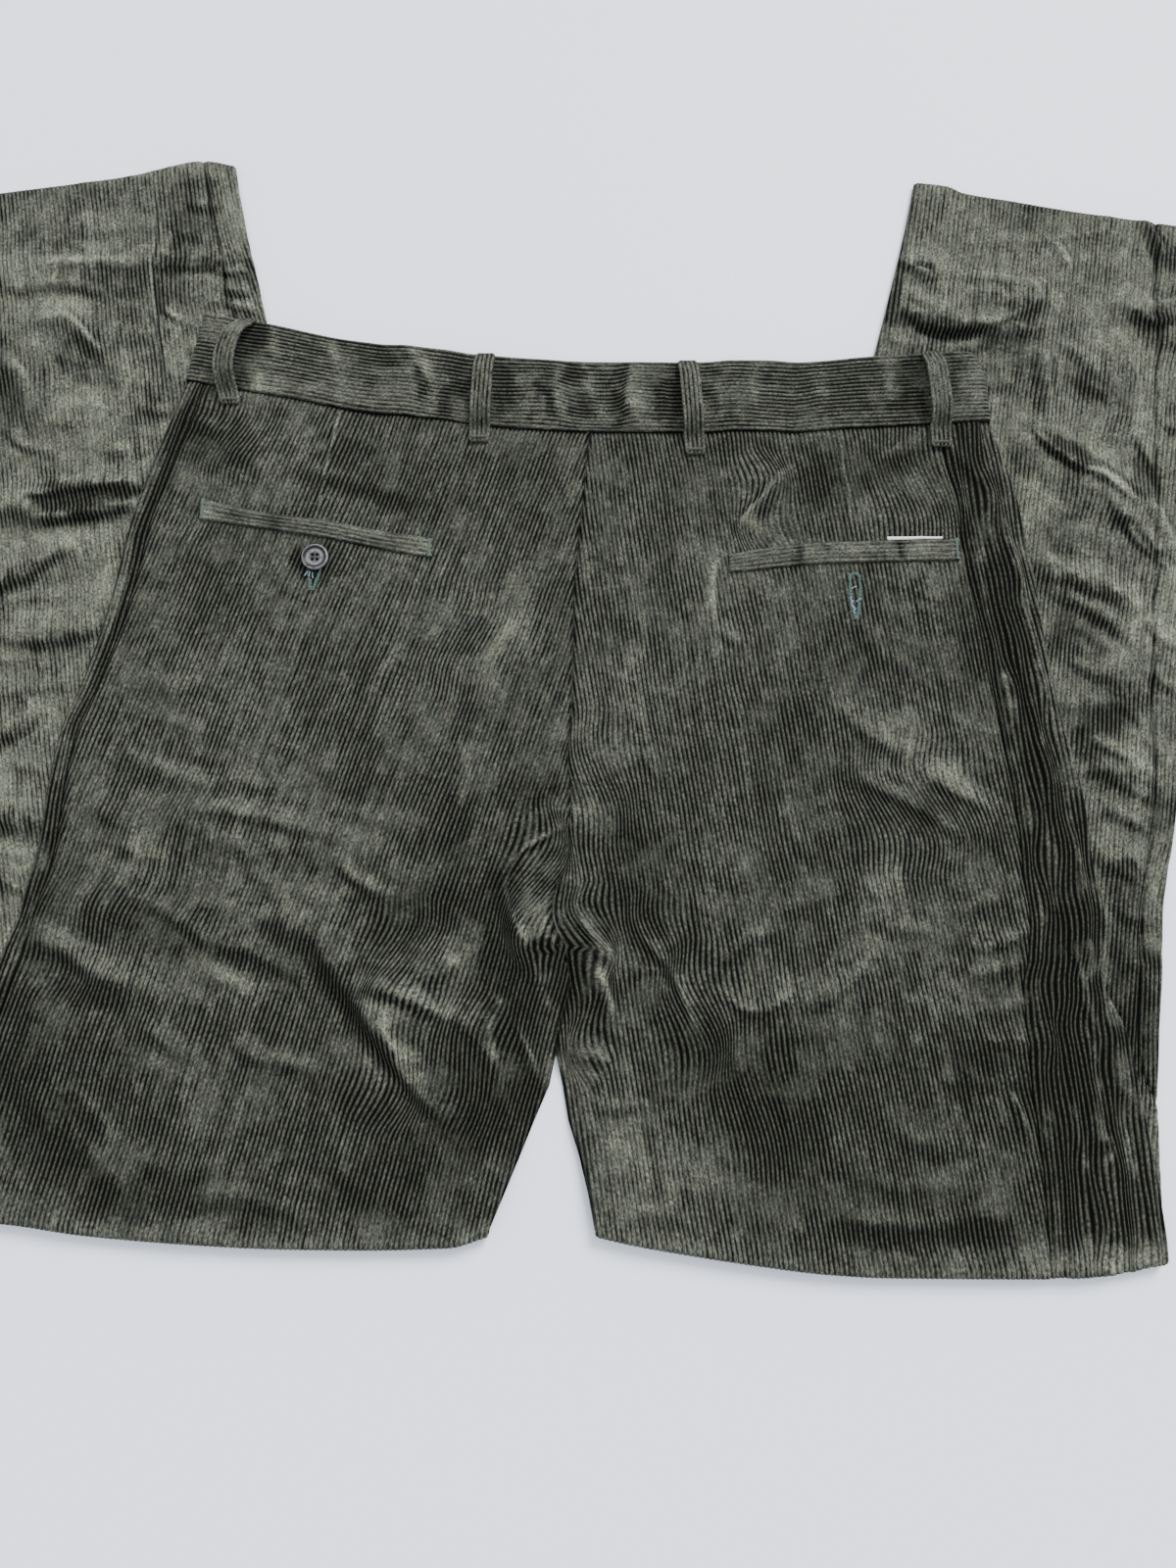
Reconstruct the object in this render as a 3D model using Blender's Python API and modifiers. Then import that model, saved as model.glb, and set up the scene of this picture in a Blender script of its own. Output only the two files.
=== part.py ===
"""Corduroy chino trousers, laid face down on a surface with each leg folded under at mid-thigh.

The plan is in millimetres: +x to the right and +y towards the waist, with the back of the
trousers up. Each leg is a flat tube of two walls. It runs down the thigh, turns under round the
fold and comes back along the floor to the hem, which lies beyond the waistband, front side up.
A point of a leg is found from v, the distance down the leg, and w, the distance round the tube
from its inner edge, over the back and then back along the front.
"""

import math
from collections import namedtuple

import bmesh
import bpy
import numpy as np
from mathutils import Vector
from mathutils.bvhtree import BVHTree

MM = 0.001

# ---------------------------------------------------------------- cloth and layers, mm
WALL = 1.6  # corduroy with its pile
LAYER = 1.2  # from the middle of a flat tube to the middle of each of its walls
OUTER = LAYER + WALL / 2
INNER = LAYER - WALL / 2
SEAM = 0.3  # the gap between two pieces
LIFT = 5.0  # how much higher the tube lies where a lower leg is under it
DRAPE = 45.0  # the width over which it comes down from a lower leg to the floor
FOLD = LIFT / 2  # radius of the middle of the tube round the fold
FOLD_MID = OUTER + FOLD  # height of the fold's axis
FOLD_REACH = 25.0  # how far up the thigh the fold holds the tube level
ORIGIN = (-8.974, 201.126)  # the middle of the whole plan

THIGH_LENGTH = 440.0
FOLD_LENGTH = math.pi * FOLD
LOWER_LENGTH = 600.0
LOWER_START = THIGH_LENGTH + FOLD_LENGTH
LEG_LENGTH = LOWER_START + LOWER_LENGTH
CROTCH_Y = 39.0
CURL_SPAN = 10.0  # below the crotch the inner edge curls into a round one over this distance

# ---------------------------------------------------------------- outlines, mm
Section = namedtuple("Section", "y left_out left_in right_in right_out")
THIGH = [
    Section(372, -233.5, 1, 1, 230),
    Section(340, -243, 0, 0, 234),
    Section(320, -249.5, -1.5, -1.5, 238.5),
    Section(300, -255, -3, -3, 243.5),
    Section(275, -260.5, -5.5, -5.5, 247),
    Section(250, -264, -7.5, -7.5, 250),
    Section(220, -270, -8.7, -8.7, 252),
    Section(190, -278, -9.7, -9.7, 255.5),
    Section(160, -288, -10.5, -10.5, 260),
    Section(130, -292, -10, -10, 265),
    Section(105, -293.5, -10.5, -10.5, 267.5),
    Section(90, -295.5, -15, -15, 268.5),
    Section(78, -298, -17.5, -17.5, 270.5),
    Section(60, -301, -14.5, -14.5, 273),
    Section(44, -306, -12.5, -12.5, 272),
    Section(28, -310, -9, -9, 268),
    Section(15, -313, -12.6, -12.4, 272),
    Section(0, -317, -16.0, -15.6, 278),
    Section(-13, -320, -17.3, -16.5, 280),
    Section(-22, -322, -18.5, -14, 281.5),
    Section(-40, -327, -26, -11, 283.5),
    Section(-68, -334, -37.5, -2.5, 287),
    Section(-100, -342, -51, 4, 289),
]
LOWER = [
    Section(522, -410, -216, 202, 397),
    Section(500, -405.5, -211.5, 197, 391.5),
    Section(470, -400, -205, 190, 385),
    Section(440, -396, -197, 182, 379),
    Section(400, -391, -187, 171, 371.5),
    Section(350, -385, -173, 156.5, 361.5),
    Section(300, -379, -160, 141, 352),
    Section(200, -368.5, -133, 111, 332),
    Section(110, -360, -108, 83, 316.5),
    Section(64, -356.5, -95.5, 66, 305.5),
    Section(30, -354, -86.5, 53, 301.5),
    Section(0, -352, -78.5, 42, 297),
    Section(-38, -348.5, -68, 28, 292.5),
    Section(-100, -342, -51, 4, 289),
]
Edge = namedtuple("Edge", "x y")
WAIST_SEAM = [
    Edge(-236, 371),
    Edge(-205, 365),
    Edge(-145, 355),
    Edge(-73, 346),
    Edge(0, 340.5),
    Edge(56, 340),
    Edge(140, 340),
    Edge(195, 342.5),
    Edge(233, 345),
]
FOLD_LEFT = [
    Edge(-342, -90),
    Edge(-294, -94),
    Edge(-257, -99),
    Edge(-200, -103.5),
    Edge(-156, -105.5),
    Edge(-114, -106),
    Edge(-70, -105),
    Edge(-51, -100),
]
FOLD_RIGHT = [
    Edge(4, -100),
    Edge(20, -103.5),
    Edge(50, -108.5),
    Edge(85, -113.5),
    Edge(120, -117.5),
    Edge(151, -119),
    Edge(225, -119.5),
    Edge(258, -118.5),
    Edge(289, -113.5),
]
HEM_LEFT = [
    Edge(-403, 489),
    Edge(-357, 499),
    Edge(-312, 505.5),
    Edge(-274, 512),
    Edge(-234, 521.5),
    Edge(-216, 518.5),
]
HEM_RIGHT = [
    Edge(199, 506.5),
    Edge(217, 504),
    Edge(226, 499.5),
    Edge(257, 493.5),
    Edge(291, 487),
    Edge(342, 479),
    Edge(386, 472),
]

# ---------------------------------------------------------------- seams, mm
# How far past the middle of the tube's edge each side seam lies at v: towards the back of the
# trousers is minus for the outer seam and plus for the inner one.
SeamShift = namedtuple("SeamShift", "v outer inner")
SEAMS_LEFT = [
    SeamShift(0, -12, 0),
    SeamShift(THIGH_LENGTH, -10, 0),
    SeamShift(LOWER_START + 20, -10, 0),
    SeamShift(LOWER_START + 240, -10, -14),
    SeamShift(LEG_LENGTH, -10, -20),
]
SEAMS_RIGHT = [
    SeamShift(0, -30, 0),
    SeamShift(80, -38, 0),
    SeamShift(135, -33, 0),
    SeamShift(225, -37, 0),
    SeamShift(280, -42, 0),
    SeamShift(365, -54, 0),
    SeamShift(THIGH_LENGTH, -56, 0),
    SeamShift(LOWER_START, -50, 0),
    SeamShift(LOWER_START + 110, 12, 0),
    SeamShift(LOWER_START + 240, 14, 0),
    SeamShift(LOWER_START + 400, 26, 0),
    SeamShift(LEG_LENGTH, 42, 0),
]

Leg = namedtuple("Leg", "side inner outer fold hem seams")
LEFT = Leg(-1, "left_in", "left_out", FOLD_LEFT, HEM_LEFT, SEAMS_LEFT)
RIGHT = Leg(1, "right_in", "right_out", FOLD_RIGHT, HEM_RIGHT, SEAMS_RIGHT)

# ---------------------------------------------------------------- folds of the cloth, mm
# Each fold runs from its start through its middle to its end. A height below zero is a trough.
Crease = namedtuple("Crease", "x0 y0 x1 y1 x2 y2 width height")
SEAT_CREASES = [
    Crease(-215, 117, -170, 111, -104, 89, 28, 2.2),
    Crease(-205, 50, -182, 38, -160, 25, 18, -1.2),
    Crease(-163, 46, -125, 10, -57, -56, 17, -1.8),
    Crease(-150, 60, -106, 16, -60, -30, 30, 3.6),
    Crease(-59, 22, -42, 5, -32, -19, 16, -1.8),
    Crease(-78, 32, -60, 8, -46, -20, 24, 2.4),
    Crease(-12, 110, -36, 82, -36, 48, 26, 4.6),
    Crease(-283, 30, -262, 22, -239, 13, 18, -1.2),
    Crease(-296, 60, -276, 44, -256, 30, 24, 2.6),
    Crease(-257, -34, -246, -42, -232, -52, 20, -1.2),
    Crease(-180, -74, -165, -78, -148, -82, 24, 1.6),
    Crease(-8, 78, 4, 56, 14, 32, 20, 2.4),
    Crease(34, 40, 46, 20, 58, 0, 22, 2.4),
    Crease(73, 15, 87, 17, 101, 18, 20, 2.0),
    Crease(204, 42, 218, 45, 232, 46, 20, 1.6),
    Crease(206, -8, 217, -8, 229, -7, 22, 2.0),
    Crease(192, -20, 191, -30, 190, -42, 20, -1.2),
    Crease(60, 200, 62, 120, 72, 60, 60, 1.6),
    Crease(-116, 215, -110, 150, -96, 100, 60, 1.6),
    Crease(110, -50, 150, -60, 190, -58, 44, 1.6),
]
LOWER_CREASES = [
    Crease(-324, 293, -290, 300, -254, 308, 20, 3.0),
    Crease(-316, 282, -288, 284, -262, 290, 16, -1.2),
    Crease(-310, 414, -298, 398, -282, 384, 20, 2.6),
    Crease(-336, 242, -315, 258, -292, 268, 20, 2.4),
    Crease(-318, 217, -294, 221, -276, 226, 20, 2.0),
    Crease(-352, 446, -290, 450, -228, 440, 24, 2.0),
    Crease(-262, 500, -256, 450, -242, 380, 22, 1.4),
    Crease(-340, 366, -318, 358, -296, 352, 26, 1.8),
    Crease(-334, 112, -322, 116, -310, 118, 20, 1.8),
    Crease(184, 446, 196, 444, 208, 441, 20, 2.2),
    Crease(188, 424, 228, 405, 268, 424, 24, 2.6),
    Crease(242, 400, 255, 398, 270, 400, 18, 1.8),
    Crease(269, 384, 268, 368, 266, 350, 18, 2.0),
    Crease(260, 334, 286, 316, 314, 294, 24, 3.4),
    Crease(292, 300, 308, 278, 326, 252, 24, 3.0),
    Crease(256, 252, 276, 243, 299, 231, 20, 2.4),
    Crease(274, 167, 286, 146, 297, 122, 22, 2.4),
    Crease(276, 86, 284, 82, 292, 78, 18, 1.6),
    Crease(322, 422, 332, 415, 342, 408, 18, 2.2),
    Crease(330, 200, 318, 204, 306, 206, 20, 1.6),
]
FADE = 12.0  # the creases die out over this distance from an edge that rests on a layer
FREE_FADE = 6.0  # and over this one from an edge that doesn't
UNDER = 0.45  # how much of a ridge the wall under it shares
DEEPEST = -0.4  # a trough stops short of the wall under it

# ---------------------------------------------------------------- waistband and trim, mm
BAND_HEIGHT = 45.0
BAND_WALL = 2.4  # two layers of cloth and the interlining
BAND_LAYER = 1.5  # from the middle of the flat band to the middle of its wall
BAND_REACH = 229.0  # half its length where it lies flat
BAND_SPLIT = 0.002  # its two ends meet at the centre front, this share of its reach apart
BAND_STATIONS = [20, 40, 58, 67, 76, 85, 95, 105, 114, 123, 138, 155, 170, 186, 200, 214]
BAND_ROWS = [0, 0.3, 0.62, 0.86, 0.95, 1.0]
BAND_LEFT = [Edge(-234, 0), Edge(-229.5, 0.5), Edge(-225.5, 1)]
BAND_RIGHT = [Edge(232.5, 0), Edge(229, 0.8), Edge(225.5, 0.94), Edge(220, 1)]

LOOP_WIDTH = 12.0
LOOP_WALL = 1.8
Loop = namedtuple("Loop", "name x_foot y_foot x_head bow_side bow_up")
LOOPS = [
    Loop("belt_loop_1", -206, 10, -199, -6, 8.0),
    Loop("belt_loop_2", -63, 11, -60, 0, 6.0),
    Loop("belt_loop_3", 62, 14, 58, 0, 6.0),
    Loop("belt_loop_4", 202, 15, 199, 1, 6.0),
]
LOOP_STATIONS = [0, 0.08, 0.17, 0.27, 0.38, 0.5, 0.62, 0.73, 0.83, 0.92, 1]
LOOP_TACK = 1.0  # sewn down at the top edge of the waistband, this far from it
LOOP_FREE = 5.0  # it leaves the panel this far below the waist seam
LOOP_RISE = 15.0  # the length over which it rises there
LOOP_FALL = 13.0  # and comes down again
FRONT_LOOP_X = 95.0
FRONT_LOOP_RISE = 2.2
FRONT_LOOP_FLAT = 10.0
FRONT_LOOP_SHOULDER = 18.0

WELT_WALL = 1.2
WELT_CROWN = 0.5  # how much thicker it is along its middle
WELT_STATIONS = 10
LIE_GAP = 0.4  # under what lies on a panel
Welt = namedtuple("Welt", "name top bottom")
WELTS = [
    Welt(
        "welt_left",
        [Edge(-219, 296.5), Edge(-185, 288.5), Edge(-145, 283), Edge(-88, 274.5)],
        [Edge(-219, 283.5), Edge(-153, 273.5), Edge(-88, 262.5)],
    ),
    Welt(
        "welt_right",
        [Edge(79.5, 265), Edge(99, 268.5), Edge(155, 271), Edge(208, 272.5)],
        [Edge(79.5, 254), Edge(144, 257.5), Edge(208, 259)],
    ),
]
POCKETING_WALL = 1.0
POCKETING_LENGTH = 31.0
POCKETING_DEPTH = 3.4
POCKETING_START = 168.0

BUTTON_AT = (-152.5, 260.5)
BUTTON_GAP = 0.6  # its thread shank
BUTTON_PROFILE = [Edge(0, 0), Edge(6.4, 0), Edge(7.4, 0.9), Edge(7.5, 2.0), Edge(6.8, 2.8),
                  Edge(5.7, 2.6), Edge(4.8, 1.9), Edge(0, 1.9)]
BUTTON_SIDES = 24
HOLE_RADIUS = 0.9
HOLE_RING = 1.9
HOLE_CUT = 20.0  # length of what cuts each hole

# ---------------------------------------------------------------- the grid of each wall
THIGH_ROWS = 20
FOLD_ROWS = 5
LOWER_ROWS = 15
COLUMNS = 14
LEAST_STEP = 0.35
ARC_STOPS = (0.0, 1 / 3, 2 / 3, 1.0)
SHARP = 40.0  # an edge bent further than this, in degrees, is not shaded smooth

GREEN = (0.052, 0.058, 0.047)
LIGHT_GREEN = (0.095, 0.103, 0.085)
COTTON = (0.75, 0.74, 0.68)
HORN = (0.03, 0.032, 0.035)


# ---------------------------------------------------------------- small tools
def through(points, t):
    """A smooth curve through (t, value) points that doesn't overshoot and is flat past its ends."""
    p = np.array(sorted(points), float)
    x, y = p[:, 0], p[:, 1]
    step = np.diff(x)
    slope = np.diff(y) / step
    turn = slope[:-1] * slope[1:]
    mean = 2 * turn / np.where(turn > 0, slope[:-1] + slope[1:], 1)
    bend = np.concatenate([[slope[0]], np.where(turn > 0, mean, 0), [slope[-1]]])
    t = np.clip(t, x[0], x[-1])
    i = np.clip(np.searchsorted(x, t) - 1, 0, len(step) - 1)
    s = (t - x[i]) / step[i]
    rise = y[i] + (y[i + 1] - y[i]) * s * s * (3 - 2 * s)
    return rise + step[i] * s * (1 - s) * (bend[i] * (1 - s) - bend[i + 1] * s)


def ramp(t):
    """0 to 1, smooth at both ends."""
    t = np.clip(t, 0, 1)
    return t * t * (3 - 2 * t)


def column(rows, key, value):
    return [(getattr(row, key), getattr(row, value)) for row in rows]


# ---------------------------------------------------------------- what lies under the cloth
def inside_lower_leg(x, y):
    """How far a plan point is inside the nearer lower leg. It is below zero outside it."""
    left = np.minimum(
        through(column(LOWER, "y", "left_in"), y) - x,
        x - through(column(LOWER, "y", "left_out"), y),
    )
    right = np.minimum(
        x - through(column(LOWER, "y", "right_in"), y),
        through(column(LOWER, "y", "right_out"), y) - x,
    )
    return np.maximum(left, right)


def support(x, y):
    """How far the cloth is lifted off the floor by the lower legs under it."""
    return LIFT * ramp((inside_lower_leg(x, y) + DRAPE) / DRAPE)


def under_band(x, y):
    """The same under the waistband, which the two belt loops of the front lift too."""
    near = (np.abs(np.abs(x) - FRONT_LOOP_X) - FRONT_LOOP_FLAT) / FRONT_LOOP_SHOULDER
    return np.maximum(support(x, y), FRONT_LOOP_RISE * ramp(1 - near))


def creases(table, x, y):
    """The height that the folds of a table add at a plan point."""
    total = np.zeros(np.broadcast(x, y).shape)
    for c in table:
        best = np.full(total.shape, np.inf)
        for ax, ay, bx, by, first in ((c.x0, c.y0, c.x1, c.y1, True), (c.x1, c.y1, c.x2, c.y2, False)):
            dx, dy = bx - ax, by - ay
            t = ((x - ax) * dx + (y - ay) * dy) / (dx * dx + dy * dy)
            s = np.clip(t, 0, 1)
            away = np.hypot(x - ax - s * dx, y - ay - s * dy)
            best = np.minimum(best, away)
        total = total + c.height * ramp(1 - best / c.width)
    return total


# ---------------------------------------------------------------- a leg
def fold_y(leg, x):
    return through(leg.fold, x) + FOLD + OUTER


def ends_of_row(leg, v):
    """Where the row at v starts and ends in plan, and how far the inner edge has curled over."""
    out_fold, in_fold = leg.fold[0 if leg.side < 0 else -1], leg.fold[-1 if leg.side < 0 else 0]
    out_hem, in_hem = leg.hem[0 if leg.side < 0 else -1], leg.hem[-1 if leg.side < 0 else 0]
    out_waist = WAIST_SEAM[0 if leg.side < 0 else -1]
    down = np.clip(v / THIGH_LENGTH, 0, 1)
    back = np.clip((v - LOWER_START) / LOWER_LENGTH, 0, 1)
    lift = FOLD + OUTER
    waist_in = through(WAIST_SEAM, 0.0)
    y_in = waist_in + (in_fold.y + lift - waist_in) * down + (in_hem.y - in_fold.y - lift) * back
    y_out = (out_waist.y + (out_fold.y + lift - out_waist.y) * down
             + (out_hem.y - out_fold.y - lift) * back)
    thigh = v < LOWER_START
    x_in = np.where(thigh, through(column(THIGH, "y", leg.inner), y_in),
                    through(column(LOWER, "y", leg.inner), y_in))
    x_out = np.where(thigh, through(column(THIGH, "y", leg.outer), y_out),
                     through(column(LOWER, "y", leg.outer), y_out))
    curl = np.where(thigh, ramp((CROTCH_Y + CURL_SPAN / 2 - y_in) / CURL_SPAN), 1.0)
    return x_in, x_out, curl


def width_of_row(leg, v):
    """The straight run of the tube between its two edges, and where it starts."""
    x_in, x_out, curl = ends_of_row(leg, v)
    start = x_in + leg.side * (SEAM / 2 + (OUTER - SEAM / 2) * np.sin(curl * math.pi / 2))
    return start, np.abs(x_out - start) - OUTER, curl


def leg_point(leg, v, w, offset):
    """The point at v and w of the leg, offset from the middle surface of the tube, in mm."""
    start, width, curl = width_of_row(leg, v)
    arc = math.pi * LAYER
    past = np.clip(w - width, 0, arc)
    before = np.clip(-w, 0, arc)
    turn = (past + before) / LAYER
    under = (w > width + arc) | (w < -arc)
    u = np.where(w < -arc, -w - arc, np.where(w > width, 2 * width + arc - w, w))
    u = np.where((past > 0) & (past < arc), width, np.where((before > 0) & (before < arc), 0, u))
    u = u + offset * np.sin(turn) * np.where(past > 0, 1, -1) * (turn < math.pi)
    level = np.where(under, -offset, offset * np.cos(turn))
    x = start + leg.side * u
    q = np.clip(u / width, 0, 1)

    waist_start, waist_width, _ = width_of_row(leg, 0.0)
    x_waist = waist_start + leg.side * waist_width * q
    inner, outer = (leg.fold[-1], leg.fold[0]) if leg.side < 0 else (leg.fold[0], leg.fold[-1])
    at_fold = fold_y(leg, inner.x + (outer.x - inner.x) * q)
    inner, outer = (leg.hem[-1], leg.hem[0]) if leg.side < 0 else (leg.hem[0], leg.hem[-1])
    at_hem = through(leg.hem, inner.x + (outer.x - inner.x) * q)
    down = np.clip(v / THIGH_LENGTH, 0, 1)
    back = np.clip((v - LOWER_START) / LOWER_LENGTH, 0, 1)
    bend = np.clip((v - THIGH_LENGTH) / FOLD, 0, math.pi)
    at_waist = through(WAIST_SEAM, x_waist)
    flat_y = at_waist + (at_fold - at_waist) * down + (at_hem - at_fold) * back

    inner_fade = np.where(curl > 0, ramp(u / FADE), 1.0)
    fade = ramp((width - u) / FADE) * inner_fade * (turn == 0)
    near_fold = ramp((flat_y - at_fold) / FADE)
    seat = creases(SEAT_CREASES, x, flat_y) * fade * near_fold
    seat = np.maximum(seat, DEEPEST)
    seat = np.where(under, UNDER * np.maximum(seat, 0), seat)
    settled = support(x, flat_y)
    settled = settled + (LIFT - settled) * ramp(1 - (flat_y - at_fold) / FOLD_REACH)
    up = OUTER + settled + level + seat

    free = ramp(outside_cover(x, flat_y) / FADE)
    low = np.maximum(creases(LOWER_CREASES, x, flat_y), DEEPEST)
    low = low * free * ramp(np.minimum(u, width - u) / FREE_FADE)
    low = np.where((level < 0) & (turn == 0) | under, low, 0)
    down_z = OUTER - level + low

    y = flat_y - (FOLD + level) * np.sin(bend)
    round_z = FOLD_MID + (FOLD + level) * np.cos(bend)
    z = np.where(v <= THIGH_LENGTH, up, np.where(v >= LOWER_START, down_z, round_z))
    return np.stack(np.broadcast_arrays(x, y, z), axis=-1)


def outside_cover(x, y):
    """How far a plan point of a lower leg is outside what lies on it."""
    beside = np.maximum(
        through(column(THIGH, "y", "left_out"), y) - x,
        x - through(column(THIGH, "y", "right_out"), y),
    )
    above = y - through(WAIST_SEAM, x) - BAND_HEIGHT
    return np.maximum(beside, above)


def seam_at(leg, v):
    """Where the inner and the outer seam lie round the tube, as distances w."""
    start, width, curl = width_of_row(leg, v)
    half = math.pi * LAYER / 2
    inner = -half * curl + through(column(leg.seams, "v", "inner"), v)
    outer = width + half + through(column(leg.seams, "v", "outer"), v)
    return inner, outer, width


# ---------------------------------------------------------------- meshes
def material(name, colour, roughness=0.85):
    m = bpy.data.materials.new(name)
    m.use_nodes = True
    shader = m.node_tree.nodes["Principled BSDF"]
    shader.inputs["Base Color"].default_value = (*colour, 1)
    shader.inputs["Roughness"].default_value = roughness
    shader.inputs["Metallic"].default_value = 0
    return m


def add_object(name, mesh, paint, collection):
    mesh.materials.append(paint)
    obj = bpy.data.objects.new(name, mesh)
    collection.objects.link(obj)
    return obj


def wall(name, outer, inner, paint, collection, flip=False):
    """A closed wall between two grids of points, rows by columns, in mm."""
    rows, cols = outer.shape[:2]
    points = np.concatenate([outer.reshape(-1, 3), inner.reshape(-1, 3)])
    points[:, 0] -= ORIGIN[0]
    points[:, 1] -= ORIGIN[1]
    index = np.arange(rows * cols).reshape(rows, cols)
    a, b = index[:-1, :-1].ravel(), index[:-1, 1:].ravel()
    c, d = index[1:, 1:].ravel(), index[1:, :-1].ravel()
    if flip:
        halves = [np.stack([a, b, d], 1), np.stack([b, c, d], 1)]
    else:
        halves = [np.stack([a, b, c], 1), np.stack([a, c, d], 1)]
    faces = np.concatenate(halves)
    below = faces[:, ::-1] + rows * cols
    rim = np.concatenate([index[0, :], index[1:, -1], index[-1, -2::-1], index[-2:0:-1, 0]])
    after = np.roll(rim, -1)
    under = rows * cols
    sides = np.concatenate([
        np.stack([after, rim, rim + under], 1),
        np.stack([after, rim + under, after + under], 1),
    ])
    mesh = bpy.data.meshes.new(name)
    mesh.from_pydata((points * MM).tolist(), [], np.concatenate([faces, below, sides]).tolist())
    shape = bmesh.new()
    shape.from_mesh(mesh)
    bmesh.ops.recalc_face_normals(shape, faces=shape.faces)
    shape.to_mesh(mesh)
    shape.free()
    mesh.shade_smooth()
    mesh.set_sharp_from_angle(angle=math.radians(SHARP))
    return add_object(name, mesh, paint, collection)


def spread(low, high, stops):
    """Columns from low to high through the stops, pushed apart where an end passes them."""
    count = len(stops) + 2
    columns = [low]
    for k, stop in enumerate(stops, start=1):
        columns.append(np.clip(stop, low + k * LEAST_STEP, high - (count - 1 - k) * LEAST_STEP))
    return np.stack(columns + [high], axis=-1)


def leg_rows():
    thigh = np.linspace(0, THIGH_LENGTH, THIGH_ROWS + 1)
    round_fold = THIGH_LENGTH + FOLD_LENGTH * np.linspace(0, 1, FOLD_ROWS + 1)[1:]
    lower = LOWER_START + LOWER_LENGTH * np.linspace(0, 1, LOWER_ROWS + 1)[1:]
    return np.concatenate([thigh, round_fold, lower])


def back_panel(leg, name, paint, collection):
    """From the centre back seam or inseam, over the top, to the side seam."""
    v = leg_rows()
    v[0] += SEAM / 2
    inner, outer, width = seam_at(leg, v)
    arc = math.pi * LAYER
    stops = [-arc * (1 - t) + 0 * v for t in ARC_STOPS]
    last = COLUMNS if leg.side < 0 else COLUMNS - 3
    stops += [width * k / COLUMNS for k in range(1, last)]
    if leg.side > 0:
        stops += [width + arc * t for t in ARC_STOPS]
    w = spread(inner + SEAM / 2 * (inner < 0), outer - SEAM / 2, stops)
    grids = [leg_point(leg, v[:, None] + 0 * w, w, offset) for offset in (OUTER, INNER)]
    return wall(name, *grids, paint, collection)


def front_panel(leg, name, paint, collection):
    """From the side seam, round the outer edge and under, to the centre front seam or inseam."""
    v = leg_rows()
    v[0] += SEAM / 2
    inner, outer, width = seam_at(leg, v)
    arc = math.pi * LAYER
    whole = 2 * (width + arc)
    stops = [width + arc * t for t in ARC_STOPS]
    stops += [2 * width + arc - width * k / COLUMNS for k in range(COLUMNS - 1, 0, -1)]
    stops += [2 * width + arc + arc * t for t in ARC_STOPS[:-1]]
    low = outer + SEAM / 2
    high = np.where(inner < 0, whole + inner - SEAM / 2, 2 * width + arc)
    w = spread(low, high, stops)
    grids = [leg_point(leg, v[:, None] + 0 * w, w, offset) for offset in (OUTER, INNER)]
    return wall(name, *grids, paint, collection, flip=True)


# ---------------------------------------------------------------- waistband
def band_edge(side, t):
    rows = BAND_LEFT if side < 0 else BAND_RIGHT
    return through([(row.y, row.x) for row in rows], t)


def band_point(reach, turn, on_top, t, offset):
    """A point of the waistband: reach is -1 to 1 from end to end, t is 0 to 1 up the band."""
    edge = BAND_LAYER + BAND_WALL / 2
    left, right = band_edge(-1, t) + edge, band_edge(1, t) - edge
    x = np.where(reach < 0, -reach * left, reach * right)
    y = through(WAIST_SEAM, x) + SEAM / 2 + (BAND_HEIGHT - SEAM / 2) * t
    level = np.where(turn > 0, np.cos(turn), np.where(on_top, 1, -1)) * offset
    z = edge + under_band(x, y) + level
    x = x + np.sign(reach) * offset * np.sin(turn)
    return np.stack(np.broadcast_arrays(x, y, z), axis=-1)


def waistband(paint, collection):
    """One band, from the centre front round both ends and across the back."""
    reaches = np.array(BAND_STATIONS) / BAND_REACH
    under_left = np.concatenate([[-BAND_SPLIT], -reaches])
    arc = np.linspace(math.pi, 0, 5)
    over = np.concatenate([-reaches[::-1], [0], reaches])
    stations = [(r, 0.0, False) for r in under_left]
    stations += [(-1.0, a, True) for a in arc]
    stations += [(r, 0.0, True) for r in over]
    stations += [(1.0, a, True) for a in arc[::-1]]
    stations += [(-r, 0.0, False) for r in under_left[::-1]]
    reach, turn, on_top = (np.array(c) for c in zip(*stations))
    t = np.array(BAND_ROWS)[:, None]
    grids = [band_point(reach[None], turn[None], on_top[None], t, BAND_LAYER + s * BAND_WALL / 2)
             for s in (1, -1)]
    return wall("waistband", *grids, paint, collection)


def height_on(pieces, x, y):
    """The height of the highest face of the pieces at a plan point."""
    best = 0.0
    for piece in pieces:
        tree = BVHTree.FromObject(piece, bpy.context.evaluated_depsgraph_get())
        above = Vector(((x - ORIGIN[0]) * MM, (y - ORIGIN[1]) * MM, 1.0))
        hit = tree.ray_cast(above, Vector((0, 0, -1)))[0]
        if hit is not None:
            best = max(best, hit.z / MM)
    return best


# ---------------------------------------------------------------- belt loops
def strap(name, line, paint, collection):
    """A flat strap whose underside follows a line of (x, y, z) points up the garment."""
    line = np.array(line, float)
    half = np.array([LOOP_WIDTH / 2, 0, 0])
    lower = np.stack([line - half, line + half], axis=1)
    along = np.gradient(line, axis=0)
    up = np.stack([0 * along[:, 0], -along[:, 2], along[:, 1]], axis=1)
    up = up / np.linalg.norm(up, axis=1)[:, None]
    return wall(name, lower + LOOP_WALL * up[:, None, :], lower, paint, collection)


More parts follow.
